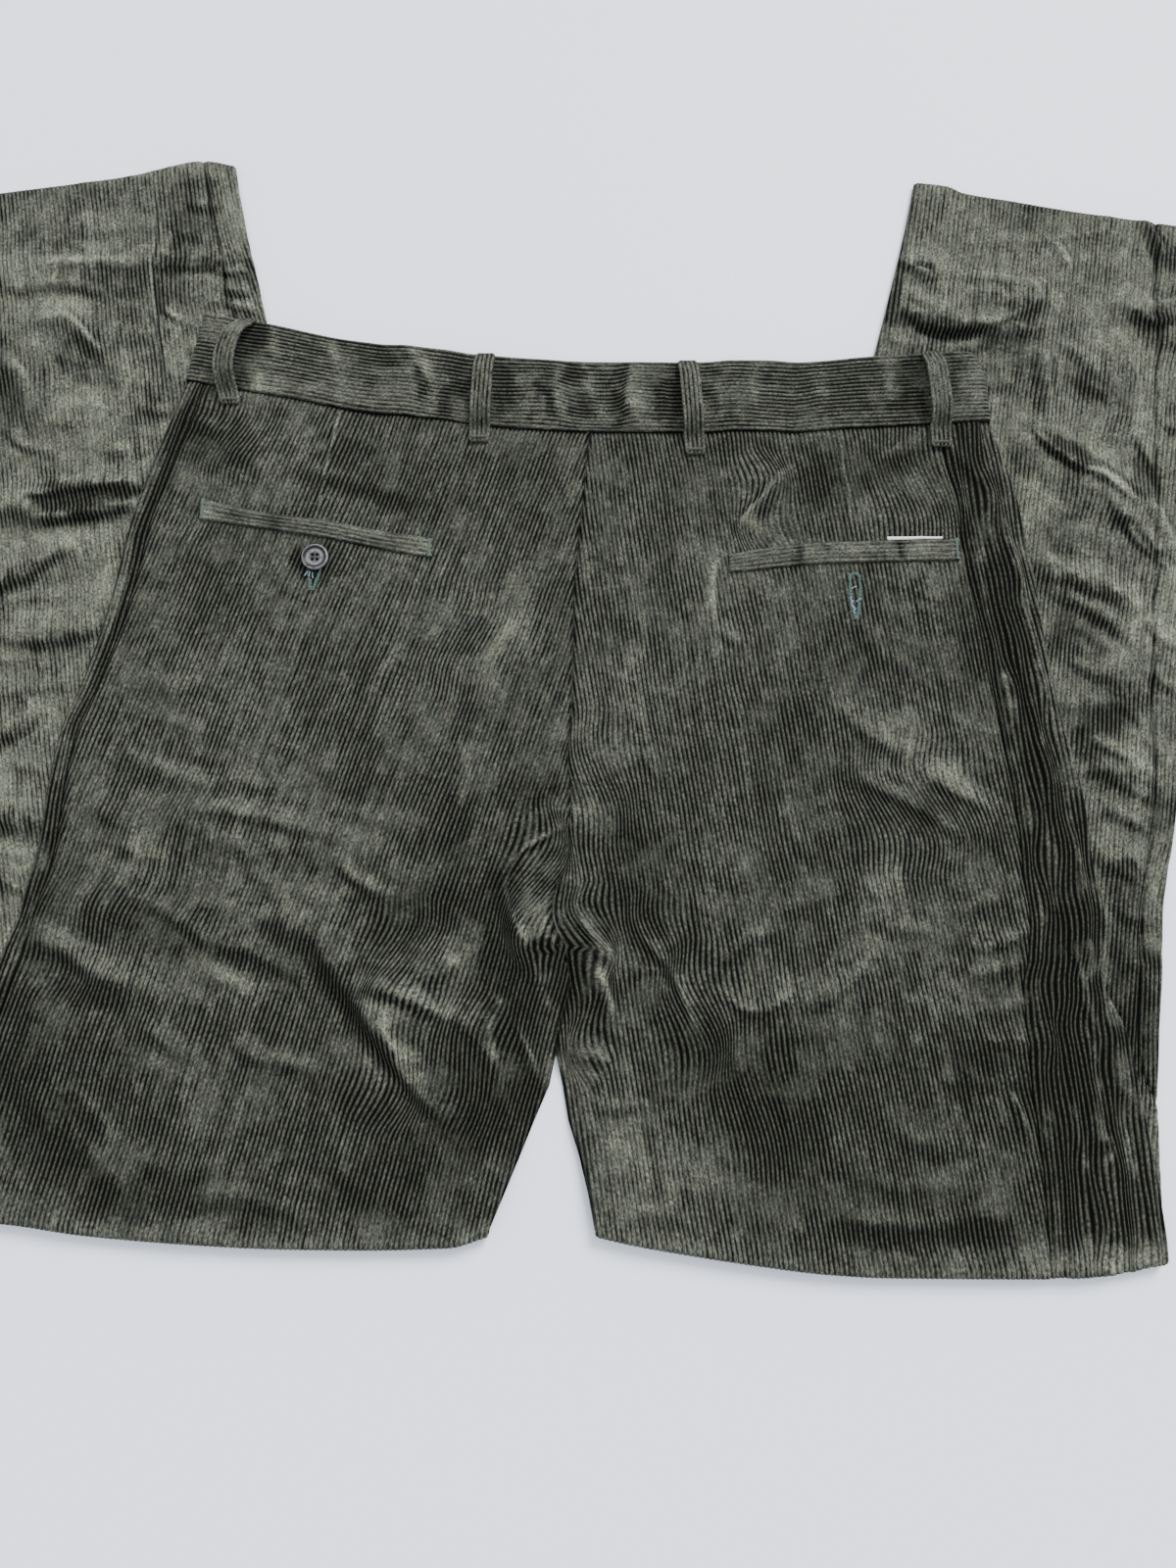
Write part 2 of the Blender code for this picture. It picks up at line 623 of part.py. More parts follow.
def belt_loop(loop, under, paint, collection):
    """Sewn below the waist seam and at the top edge, and bowed up between for the belt."""
    seam_y = float(through(WAIST_SEAM, loop.x_foot))
    top_y = float(through(WAIST_SEAM, loop.x_head)) + BAND_HEIGHT
    foot, head = seam_y - loop.y_foot, top_y - LIE_GAP
    half = LOOP_WIDTH / 2
    line = []
    for t in LOOP_STATIONS:
        y = foot + (head - foot) * t
        x = loop.x_foot + (loop.x_head - loop.x_foot) * t + loop.bow_side * math.sin(math.pi * t)
        rest = max(height_on(under, x + side, y + up) for side in (-half, 0, half) for up in (0, 4))
        rest += LIE_GAP
        rise = ramp((y - seam_y + LOOP_FREE) / LOOP_RISE)
        fall = ramp((top_y - LOOP_TACK - y) / LOOP_FALL)
        line.append((x, y, rest + loop.bow_up * float(rise * fall)))
    return strap(loop.name, line, paint, collection)


def front_loop(name, x, paint, collection):
    """Flat on the floor under the front of the waistband."""
    seam_y = float(through(WAIST_SEAM, x))
    ends = (LOOP_TACK, BAND_HEIGHT / 2, BAND_HEIGHT - LOOP_TACK)
    line = [(x, seam_y + y, 0.0) for y in ends]
    return strap(name, line, paint, collection)


# ---------------------------------------------------------------- pockets
def welt(row, under, paint, collection):
    """A narrow band on the back panel, a little fuller along its middle."""
    x = np.linspace(row.top[0].x, row.top[-1].x, WELT_STATIONS)[None, :]
    t = np.array([0, 0.5, 1.0])[:, None]
    low, high = through(row.bottom, x), through(row.top, x)
    y = low + (high - low) * t
    x = x + 0 * y
    low = np.vectorize(lambda a, b: height_on(under, a, b))(x, y) + LIE_GAP
    crown = WELT_WALL + WELT_CROWN * np.sin(math.pi * t)
    grids = [np.stack([x, y, low + crown], axis=-1), np.stack([x, y, low], axis=-1)]
    return wall(row.name, *grids, paint, collection)


def pocketing(under, paint, collection):
    """The edge of the pocket's white lining, above the right welt."""
    x = POCKETING_START + np.linspace(0, POCKETING_LENGTH, 4)[None, :]
    edge = through(WELTS[1].top, x) + SEAM
    y = edge + POCKETING_DEPTH * np.array([0, 1.0])[:, None]
    x = x + 0 * y
    low = np.vectorize(lambda a, b: height_on(under, a, b))(x, y) + LIE_GAP
    grids = [np.stack([x, y, low + POCKETING_WALL], axis=-1), np.stack([x, y, low], axis=-1)]
    return wall("pocketing_right", *grids, paint, collection)


def cutter_cylinder(name, radius, height, at, collection):
    bpy.ops.mesh.primitive_cylinder_add(vertices=8, radius=radius, depth=height, location=at)
    obj = bpy.context.active_object
    obj.name = name
    for owner in list(obj.users_collection):
        owner.objects.unlink(obj)
    collection.objects.link(obj)
    obj.hide_render = True
    obj.display_type = "WIRE"
    return obj


def button(under, paint, collection, cutters):
    """A turned button with a raised rim and four holes."""
    mesh = bpy.data.meshes.new("button")
    points = [(p.x * MM, 0, p.y * MM) for p in reversed(BUTTON_PROFILE)]
    mesh.from_pydata(points, [(i, i + 1) for i in range(len(points) - 1)], [])
    obj = add_object("button", mesh, paint, collection)
    x, y = BUTTON_AT
    z = height_on(under, x, y) + BUTTON_GAP
    obj.location = Vector(((x - ORIGIN[0]) * MM, (y - ORIGIN[1]) * MM, z * MM))
    turned = obj.modifiers.new("turned", "SCREW")
    turned.axis = "Z"
    turned.steps = turned.render_steps = BUTTON_SIDES
    turned.use_merge_vertices = True
    turned.merge_threshold = 0.00001
    for k in range(4):
        angle = math.radians(45 + 90 * k)
        at = obj.location + Vector((math.cos(angle), math.sin(angle), 0)) * HOLE_RING * MM
        hole = cutter_cylinder(f"button_hole_{k}", HOLE_RADIUS * MM, HOLE_CUT * MM, at, cutters)
        cut = obj.modifiers.new(hole.name, "BOOLEAN")
        cut.operation = "DIFFERENCE"
        cut.object = hole
    return obj


# ---------------------------------------------------------------- the trousers
def main():
    for old in list(bpy.data.objects):
        bpy.data.objects.remove(old, do_unlink=True)
    trousers = bpy.data.collections.new("chino_trousers")
    cutters = bpy.data.collections.new("cutters")
    bpy.context.scene.collection.children.link(trousers)
    bpy.context.scene.collection.children.link(cutters)

    top = []
    for side, leg in (("left", LEFT), ("right", RIGHT)):
        paint = material(f"corduroy_back_{side}", GREEN)
        top.append(back_panel(leg, f"back_{side}", paint, trousers))
        front_panel(leg, f"front_{side}", material(f"corduroy_front_{side}", LIGHT_GREEN), trousers)
    band = waistband(material("corduroy_waistband", GREEN), trousers)
    bpy.context.view_layer.update()
    for loop in LOOPS:
        belt_loop(loop, [*top, band], material(f"corduroy_{loop.name}", GREEN), trousers)
    for side, x in (("left", -FRONT_LOOP_X), ("right", FRONT_LOOP_X)):
        name = f"belt_loop_front_{side}"
        front_loop(name, x, material(f"corduroy_{name}", GREEN), trousers)
    for row in WELTS:
        welt(row, top, material(f"corduroy_{row.name}", GREEN), trousers)
    pocketing(top, material("cotton", COTTON), trousers)
    button(top, material("horn", HORN, 0.35), trousers, cutters)


main()
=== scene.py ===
"""The looks of the corduroy chino trousers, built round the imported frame.

Lengths are in millimetres in the plan of the part's source: +x to the right, +y towards the
waist, the back of the trousers up. A point of a leg is found from v, the distance down the leg,
and w, the distance round its flat tube from the inner edge, over the back and then back along
the front. Each piece is one thin shell, meshed along its wales, the ribs of the corduroy.
"""

import math
from collections import namedtuple

import bpy
import numpy as np
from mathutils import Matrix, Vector


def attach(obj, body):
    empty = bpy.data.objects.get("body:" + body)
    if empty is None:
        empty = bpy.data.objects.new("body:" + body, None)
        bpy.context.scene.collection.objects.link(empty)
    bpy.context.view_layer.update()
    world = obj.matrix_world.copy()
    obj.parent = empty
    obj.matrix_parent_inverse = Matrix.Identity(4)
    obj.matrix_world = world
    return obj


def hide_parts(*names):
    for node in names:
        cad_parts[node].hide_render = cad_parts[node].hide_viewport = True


MM = 0.001

# ---------------------------------------------------------------- cloth and layers, mm
WALL = 1.6
LAYER = 1.2  # from the middle of a flat tube to the middle of each of its walls
OUTER = LAYER + WALL / 2
LIFT = 5.0  # how much higher the tube lies where a lower leg is under it
DRAPE = 45.0  # the width over which it comes down from a lower leg to the floor
FOLD = LIFT / 2  # radius of the middle of the tube round the fold
FOLD_MID = OUTER + FOLD
FOLD_REACH = 25.0  # how far up the thigh the fold holds the tube level
ORIGIN = np.array([-8.974, 201.126, 0.0])  # the part's origin in this plan
SEAM = 0.3

THIGH_LENGTH = 440.0
FOLD_LENGTH = math.pi * FOLD
LOWER_LENGTH = 600.0
LOWER_START = THIGH_LENGTH + FOLD_LENGTH
LEG_LENGTH = LOWER_START + LOWER_LENGTH
CROTCH_Y = 39.0
CURL_SPAN = 10.0  # below the crotch the inner edge curls into a round one over this distance
ARC = math.pi * LAYER  # round an edge of the tube
HEM_ROLL = 0.8  # radius of the folded edge of a hem
HEM_TURN = 10.0  # how far its inside is modelled
CENTRE_LENGTH = 300.0  # of the centre seam, down to the crotch
ALLOWANCE = 3.0  # how far the cloth under the centre seam reaches to each side

# ---------------------------------------------------------------- outlines, mm
Section = namedtuple("Section", "y left_out left_in right_in right_out")
THIGH = [
    Section(372, -233.5, 1, 1, 230),
    Section(340, -243, 0, 0, 234),
    Section(320, -249.5, -1.5, -1.5, 238.5),
    Section(300, -255, -3, -3, 243.5),
    Section(275, -260.5, -5.5, -5.5, 247),
    Section(250, -264, -7.5, -7.5, 250),
    Section(220, -270, -8.7, -8.7, 252),
    Section(190, -278, -9.7, -9.7, 255.5),
    Section(160, -288, -10.5, -10.5, 260),
    Section(130, -292, -10, -10, 265),
    Section(105, -293.5, -10.5, -10.5, 267.5),
    Section(90, -295.5, -15, -15, 268.5),
    Section(78, -298, -17.5, -17.5, 270.5),
    Section(60, -301, -14.5, -14.5, 273),
    Section(44, -306, -12.5, -12.5, 272),
    Section(28, -310, -8.6, -9.4, 268),
    Section(15, -313, -12.1, -12.9, 272),
    Section(0, -317, -15.4, -16.2, 278),
    Section(-13, -320, -16.6, -17.2, 280),
    Section(-22, -322, -18.5, -14, 281.5),
    Section(-40, -327, -26, -11, 283.5),
    Section(-68, -334, -37.5, -2.5, 287),
    Section(-100, -342, -51, 4, 289),
]
LOWER = [
    Section(522, -410, -216, 202, 397),
    Section(500, -405.5, -211.5, 197, 391.5),
    Section(470, -400, -205, 190, 385),
    Section(440, -396, -197, 182, 379),
    Section(400, -391, -187, 171, 371.5),
    Section(350, -385, -173, 156.5, 361.5),
    Section(300, -379, -160, 141, 352),
    Section(200, -368.5, -133, 111, 332),
    Section(110, -360, -108, 83, 316.5),
    Section(64, -356.5, -95.5, 66, 305.5),
    Section(30, -354, -86.5, 53, 301.5),
    Section(0, -352, -78.5, 42, 297),
    Section(-38, -348.5, -68, 28, 292.5),
    Section(-100, -342, -51, 4, 289),
]
Edge = namedtuple("Edge", "x y")
WAIST_SEAM = [
    Edge(-236, 371),
    Edge(-205, 365),
    Edge(-145, 355),
    Edge(-73, 346),
    Edge(0, 340.5),
    Edge(56, 340),
    Edge(140, 340),
    Edge(195, 342.5),
    Edge(233, 345),
]
FOLD_LEFT = [
    Edge(-342, -90),
    Edge(-294, -94),
    Edge(-257, -99),
    Edge(-200, -103.5),
    Edge(-156, -105.5),
    Edge(-114, -106),
    Edge(-70, -105),
    Edge(-51, -100),
]
FOLD_RIGHT = [
    Edge(4, -100),
    Edge(20, -103.5),
    Edge(50, -108.5),
    Edge(85, -113.5),
    Edge(120, -117.5),
    Edge(151, -119),
    Edge(225, -119.5),
    Edge(258, -118.5),
    Edge(289, -113.5),
]
HEM_LEFT = [
    Edge(-403, 489),
    Edge(-357, 499),
    Edge(-312, 505.5),
    Edge(-274, 512),
    Edge(-234, 521.5),
    Edge(-216, 518.5),
]
HEM_RIGHT = [
    Edge(199, 506.5),
    Edge(217, 504),
    Edge(226, 499.5),
    Edge(257, 493.5),
    Edge(291, 487),
    Edge(342, 479),
    Edge(386, 472),
]

# ---------------------------------------------------------------- seams, mm
SEAM_DEPTH = 1.3  # how far the cloth dips into a seam
SEAM_ROLL = 2.4  # and over what distance
WAIST_DIP = 0.45  # how deep the seam at the waist is beside the other seams
NEAR_FOLD = 16.0  # the fold under the thigh changes the cloth this far from its middle
FOLD_FLATTENS = 0.7  # how much of a seam's dip is gone on it
# How far past the middle of the tube's edge each side seam lies at v: towards the back of the
# trousers is minus for the outer seam and plus for the inner one.
SeamShift = namedtuple("SeamShift", "v outer inner")
SEAMS_LEFT = [
    SeamShift(0, -12, 0),
    SeamShift(THIGH_LENGTH, -10, 0),
    SeamShift(LOWER_START + 20, -10, 0),
    SeamShift(LOWER_START + 240, -10, -14),
    SeamShift(LEG_LENGTH, -10, -20),
]
SEAMS_RIGHT = [
    SeamShift(0, -30, 0),
    SeamShift(80, -38, 0),
    SeamShift(135, -33, 0),
    SeamShift(225, -37, 0),
    SeamShift(265, -41, 0),
    SeamShift(290, -43, 0),
    SeamShift(307, -42, 0),
    SeamShift(334, -51.5, 0),
    SeamShift(385, -57, 0),
    SeamShift(THIGH_LENGTH, -60, 0),
    SeamShift(LOWER_START, -56, 0),
    SeamShift(LOWER_START + 110, 12, 0),
    SeamShift(LOWER_START + 240, 14, 0),
    SeamShift(LOWER_START + 400, 26, 0),
    SeamShift(LEG_LENGTH, 42, 0),
]
# How far the wales lean towards the outer edge on their way down the leg, in degrees.
Lean = namedtuple("Lean", "v degrees")
LEAN_LEFT = [Lean(0, 19), Lean(200, 18), Lean(436, 13), Lean(700, 11), Lean(1050, 10)]
LEAN_RIGHT = [Lean(0, 7), Lean(200, 9), Lean(436, 9), Lean(700, 10), Lean(1050, 11)]

# How light the pile lies on the strip of the front panel that shows beside the outer seam.
StripNap = namedtuple("StripNap", "at_seam at_edge")
STRIP_LEFT, STRIP_RIGHT = StripNap(-0.55, -0.1), StripNap(-0.66, 0.1)

Leg = namedtuple("Leg", "side inner outer fold hem seams lean strip")
LEFT = Leg(-1, "left_in", "left_out", FOLD_LEFT, HEM_LEFT, SEAMS_LEFT, LEAN_LEFT, STRIP_LEFT)
RIGHT = Leg(1, "right_in", "right_out", FOLD_RIGHT, HEM_RIGHT, SEAMS_RIGHT, LEAN_RIGHT, STRIP_RIGHT)

# ---------------------------------------------------------------- folds of the cloth, mm
# Each fold runs from its start through its middle to its end. A height below zero is a trough.
Crease = namedtuple("Crease", "x0 y0 x1 y1 x2 y2 width height")
SEAT_CREASES = [
    Crease(-215, 117, -170, 111, -104, 89, 28, 2.2),
    Crease(-205, 50, -182, 38, -160, 25, 18, -1.2),
    Crease(-163, 46, -125, 10, -57, -56, 17, -1.8),
    Crease(-150, 60, -106, 16, -60, -30, 30, 3.6),
    Crease(-59, 22, -42, 5, -32, -19, 16, -1.8),
    Crease(-78, 32, -60, 8, -46, -20, 24, 2.4),
    Crease(-12, 110, -36, 82, -36, 48, 26, 4.6),
    Crease(-283, 30, -262, 22, -239, 13, 18, -1.2),
    Crease(-296, 60, -276, 44, -256, 30, 24, 2.6),
    Crease(-257, -34, -246, -42, -232, -52, 20, -1.2),
    Crease(-180, -74, -165, -78, -148, -82, 24, 1.6),
    Crease(-8, 78, 4, 56, 14, 32, 20, 2.4),
    Crease(34, 40, 46, 20, 58, 0, 22, 2.4),
    Crease(73, 15, 87, 17, 101, 18, 20, 2.0),
    Crease(204, 42, 218, 45, 232, 46, 20, 1.6),
    Crease(206, -8, 217, -8, 229, -7, 22, 2.0),
    Crease(192, -20, 191, -30, 190, -42, 20, -1.2),
    Crease(60, 200, 62, 120, 72, 60, 60, 1.6),
    Crease(-116, 215, -110, 150, -96, 100, 60, 1.6),
    Crease(110, -50, 150, -60, 190, -58, 44, 1.6),
]
LOWER_CREASES = [
    Crease(-324, 293, -290, 300, -254, 308, 20, 3.0),
    Crease(-316, 282, -288, 284, -262, 290, 16, -1.2),
    Crease(-310, 414, -298, 398, -282, 384, 20, 2.6),
    Crease(-336, 242, -315, 258, -292, 268, 20, 2.4),
    Crease(-318, 217, -294, 221, -276, 226, 20, 2.0),
    Crease(-352, 446, -290, 450, -228, 440, 24, 2.0),
    Crease(-262, 500, -256, 450, -242, 380, 22, 1.4),
    Crease(-340, 366, -318, 358, -296, 352, 26, 1.8),
    Crease(-334, 112, -322, 116, -310, 118, 20, 1.8),
    Crease(184, 446, 196, 444, 208, 441, 20, 2.2),
    Crease(188, 424, 228, 405, 268, 424, 24, 2.6),
    Crease(242, 400, 255, 398, 270, 400, 18, 1.8),
    Crease(269, 384, 268, 368, 266, 350, 18, 2.0),
    Crease(260, 334, 286, 316, 314, 294, 24, 3.4),
    Crease(292, 300, 308, 278, 326, 252, 24, 3.0),
    Crease(256, 252, 276, 243, 299, 231, 20, 2.4),
    Crease(274, 167, 286, 146, 297, 122, 22, 2.4),
    Crease(276, 86, 284, 82, 292, 78, 18, 1.6),
    Crease(322, 422, 332, 415, 342, 408, 18, 2.2),
    Crease(330, 200, 318, 204, 306, 206, 20, 1.6),
]
# The finer folds, which the solids leave out. A fold's steep side, from 1 on its left to -1 on its
# right, is the one that it leans over.
Fold = namedtuple("Fold", "x0 y0 x1 y1 x2 y2 width height steep")
SEAT_FOLDS = [
    # the long fold down to the left inner leg, and what gathers round the crotch
    Fold(-140, 48, -108, 0, -64, -54, 13, 3.0, -0.9),
    Fold(-150, 40, -122, 4, -78, -50, 6, -1.2, 0),
    Fold(-122, 24, -98, 20, -60, 3, 8, 2.2, -0.7),
    Fold(-92, 24, -66, 40, -42, 62, 9, 1.4, -0.5),
    Fold(-84, 66, -72, 52, -58, 30, 8, -1.0, 0),
    Fold(-60, 24, -42, 8, -24, -32, 9, 2.4, 0.8),
    Fold(-54, -4, -44, -26, -38, -52, 8, 2.0, 0.6),
    Fold(-66, 0, -56, -16, -50, -40, 7, -1.2, 0),
    Fold(-48, 70, -44, 52, -42, 34, 7, -1.2, 0),
    Fold(-10, 108, -28, 100, -41, 86, 5, 2.0, 0.9),
    Fold(-41, 86, -43, 66, -33, 48, 6, 2.2, 0.9),
    Fold(-35, 45, -22, 42, -12, 42, 6, -2.2, 0),
    Fold(-12, 42, -9, 30, -14, 14, 6, -2.2, 0),
    Fold(-43, 17, -38, -6, -30, -40, 6, -2.0, 0),
    Fold(-36, 40, -28, 32, -24, 16, 9, 2.2, 0.4),
    Fold(-6, 62, 4, 46, 13, 38, 7, 1.8, -0.5),
    Fold(3, 37, 9, 22, 12, 3, 7, 1.6, 0.5),
    Fold(-14, -8, 0, -12, 12, -10, 6, 1.2, 0.6),
    Fold(24, 64, 34, 44, 42, 36, 6, 1.4, -0.4),
    Fold(40, 40, 49, 20, 59, 0, 8, 2.4, -0.6),
    Fold(46, 34, 58, 8, 72, -14, 7, -1.1, 0),
    Fold(72, -4, 82, -26, 86, -54, 9, 1.6, -0.4),
    Fold(92, -8, 102, -34, 106, -62, 10, 1.3, 0.4),
    # the dart-like flap at the end of the centre seam
    Fold(-8, 128, -24, 116, -44, 110, 9, 1.2, -0.4),
    Fold(-52, 104, -58, 92, -50, 78, 8, -1.0, 0),
    # across the left seat and thigh
    Fold(-292, 60, -268, 40, -236, 24, 12, 2.2, -0.7),
    Fold(-240, 70, -214, 58, -196, 44, 10, 2.0, -0.7),
    Fold(-200, 46, -172, 42, -140, 18, 11, 2.4, -0.8),
    Fold(-212, 66, -198, 66, -182, 64, 5, 1.0, -0.5),
    Fold(-262, 20, -248, 14, -236, 12, 6, -1.1, 0),
    Fold(-234, 6, -216, -4, -204, -10, 7, 1.4, -0.5),
    Fold(-186, -4, -162, -12, -132, -22, 9, 1.6, -0.5),
    Fold(-206, 38, -192, 30, -170, 22, 8, 1.2, -0.4),
    Fold(-168, 84, -152, 76, -140, 62, 10, 1.4, -0.5),
    Fold(-196, 100, -176, 88, -160, 66, 12, 1.4, 0.4),
    Fold(-136, 92, -118, 76, -100, 68, 8, 1.8, -0.6),
    Fold(-214, 118, -176, 114, -110, 94, 10, 1.8, -0.5),
    Fold(-274, 122, -250, 114, -226, 98, 12, 1.5, -0.5),
    Fold(-258, 104, -240, 96, -220, 90, 9, 1.2, -0.5),
    Fold(-252, 152, -228, 138, -204, 134, 10, 1.2, 0.4),
    Fold(-216, 148, -204, 145, -188, 146, 5, 0.9, 0.4),
    Fold(-200, 136, -174, 132, -150, 138, 9, 1.0, -0.4),
    Fold(-240, 190, -226, 184, -214, 186, 9, 0.9, -0.4),
    Fold(-268, -26, -250, -40, -238, -56, 10, 1.6, 0.6),
    Fold(-258, -54, -246, -64, -232, -74, 9, 1.3, 0.5),
    Fold(-296, -8, -284, -30, -272, -44, 10, 1.2, -0.5),
    Fold(-232, -58, -206, -66, -170, -64, 10, 1.3, -0.5),
    Fold(-196, -78, -168, -80, -140, -88, 9, 1.4, -0.5),
    Fold(-220, -80, -200, -88, -176, -90, 8, -0.9, 0),
    Fold(-128, -64, -112, -76, -90, -80, 10, 1.1, 0.4),
    Fold(-130, 120, -110, 112, -88, 114, 10, 1.0, 0.4),
    Fold(-108, 100, -90, 92, -74, 96, 9, -0.9, 0),
    Fold(-64, 150, -70, 124, -74, 96, 9, 1.5, 0.3),
    Fold(-48, 240, -54, 200, -62, 158, 12, 1.2, 0.3),
    Fold(-100, 214, -112, 196, -122, 178, 8, 1.0, -0.5),
    Fold(-168, 318, -130, 306, -96, 300, 9, 1.1, -0.6),
    Fold(-214, 336, -196, 320, -176, 306, 10, 1.0, -0.5),
    Fold(-176, 256, -168, 244, -156, 238, 8, 1.0, -0.4),
    # across the right seat and thigh
    Fold(118, 322, 100, 300, 82, 274, 8, 1.8, -0.7),
    Fold(192, 334, 170, 322, 146, 300, 9, 1.6, -0.6),
    Fold(130, 316, 132, 304, 126, 292, 9, -1.0, 0),
    Fold(74, 262, 68, 244, 72, 218, 7, 1.5, 0.6),
    Fold(74, 218, 84, 214, 96, 216, 7, 1.0, -0.5),
    Fold(150, 222, 162, 208, 178, 200, 10, 0.9, 0.4),
    Fold(138, 178, 156, 158, 176, 148, 14, 1.5, -0.6),
    Fold(178, 142, 196, 130, 214, 120, 11, 1.5, -0.6),
    Fold(136, 136, 166, 124, 204, 100, 9, 1.5, -0.6),
    Fold(100, 120, 112, 104, 116, 90, 9, 1.1, 0.4),
    Fold(84, 60, 110, 66, 134, 76, 10, 1.2, -0.5),
    Fold(56, 26, 78, 44, 104, 56, 8, 1.3, -0.5),
    Fold(150, 60, 168, 52, 190, 56, 10, 1.2, -0.4),
    Fold(74, 18, 88, 11, 106, 22, 6, 2.0, -0.8),
    Fold(108, 14, 128, 22, 146, 40, 8, 1.5, -0.5),
    Fold(94, 2, 112, 0, 128, 4, 8, 1.1, -0.4),
    Fold(176, 62, 196, 64, 220, 72, 6, 1.1, -0.5),
    Fold(200, 42, 216, 48, 234, 56, 6, 1.9, -0.8),
    Fold(196, 28, 212, 32, 232, 38, 6, 1.4, -0.6),
    Fold(202, 12, 214, 12, 230, 18, 6, 1.1, -0.6),
    Fold(204, -4, 216, -6, 230, -4, 5, 1.3, -0.7),
    Fold(194, -22, 210, -24, 226, -20, 6, 1.0, -0.5),
    Fold(188, -14, 191, -28, 192, -44, 5, -1.3, 0),
    Fold(214, -28, 219, -40, 223, -54, 5, 1.3, 0.6),
    Fold(250, -26, 252, -48, 256, -72, 6, -1.3, 0),
    Fold(262, -20, 264, -46, 268, -70, 8, 1.2, 0.5),
    Fold(148, -40, 168, -52, 196, -52, 9, 1.1, 0.5),
    Fold(126, -66, 158, -74, 196, -72, 10, 1.1, -0.5),
    Fold(122, -96, 160, -101, 206, -98, 7, -1.1, 0),
    Fold(118, -88, 160, -92, 208, -88, 7, 1.3, -0.5),
    Fold(2, -36, 14, -38, 26, -34, 7, 1.2, -0.5),
    Fold(20, -30, 34, -44, 44, -64, 10, 0.7, 0.4),
    Fold(2, -84, 22, -88, 44, -82, 7, 0.5, -0.5),
    # lengthwise beside the side seams, and under the ends of the waistband
    Fold(232, 300, 246, 220, 262, 130, 6, 1.6, 0.5),
    Fold(226, 250, 240, 180, 252, 100, 5, 1.2, 0.4),
    Fold(262, 120, 262, 70, 262, 40, 6, 1.5, 0.5),
    Fold(252, 84, 256, 30, 266, -20, 5, 1.3, -0.4),
    Fold(246, 20, 248, -40, 254, -100, 5, 1.1, 0.4),
    Fold(206, 330, 216, 316, 226, 300, 7, 1.6, -0.6),
    Fold(-232, 352, -222, 342, -206, 340, 7, 1.4, -0.5),
    Fold(-284, 132, -288, 110, -282, 86, 6, -1.3, 0),
    Fold(-296, 116, -298, 90, -292, 66, 6, 1.4, 0.5),
    # the sewn darts above the pockets
    Fold(-144, 358, -150, 320, -153.5, 288, 1.6, 1.1, 0),
    Fold(144, 340, 145.5, 312, 148.5, 280, 1.6, 1.0, 0),
]
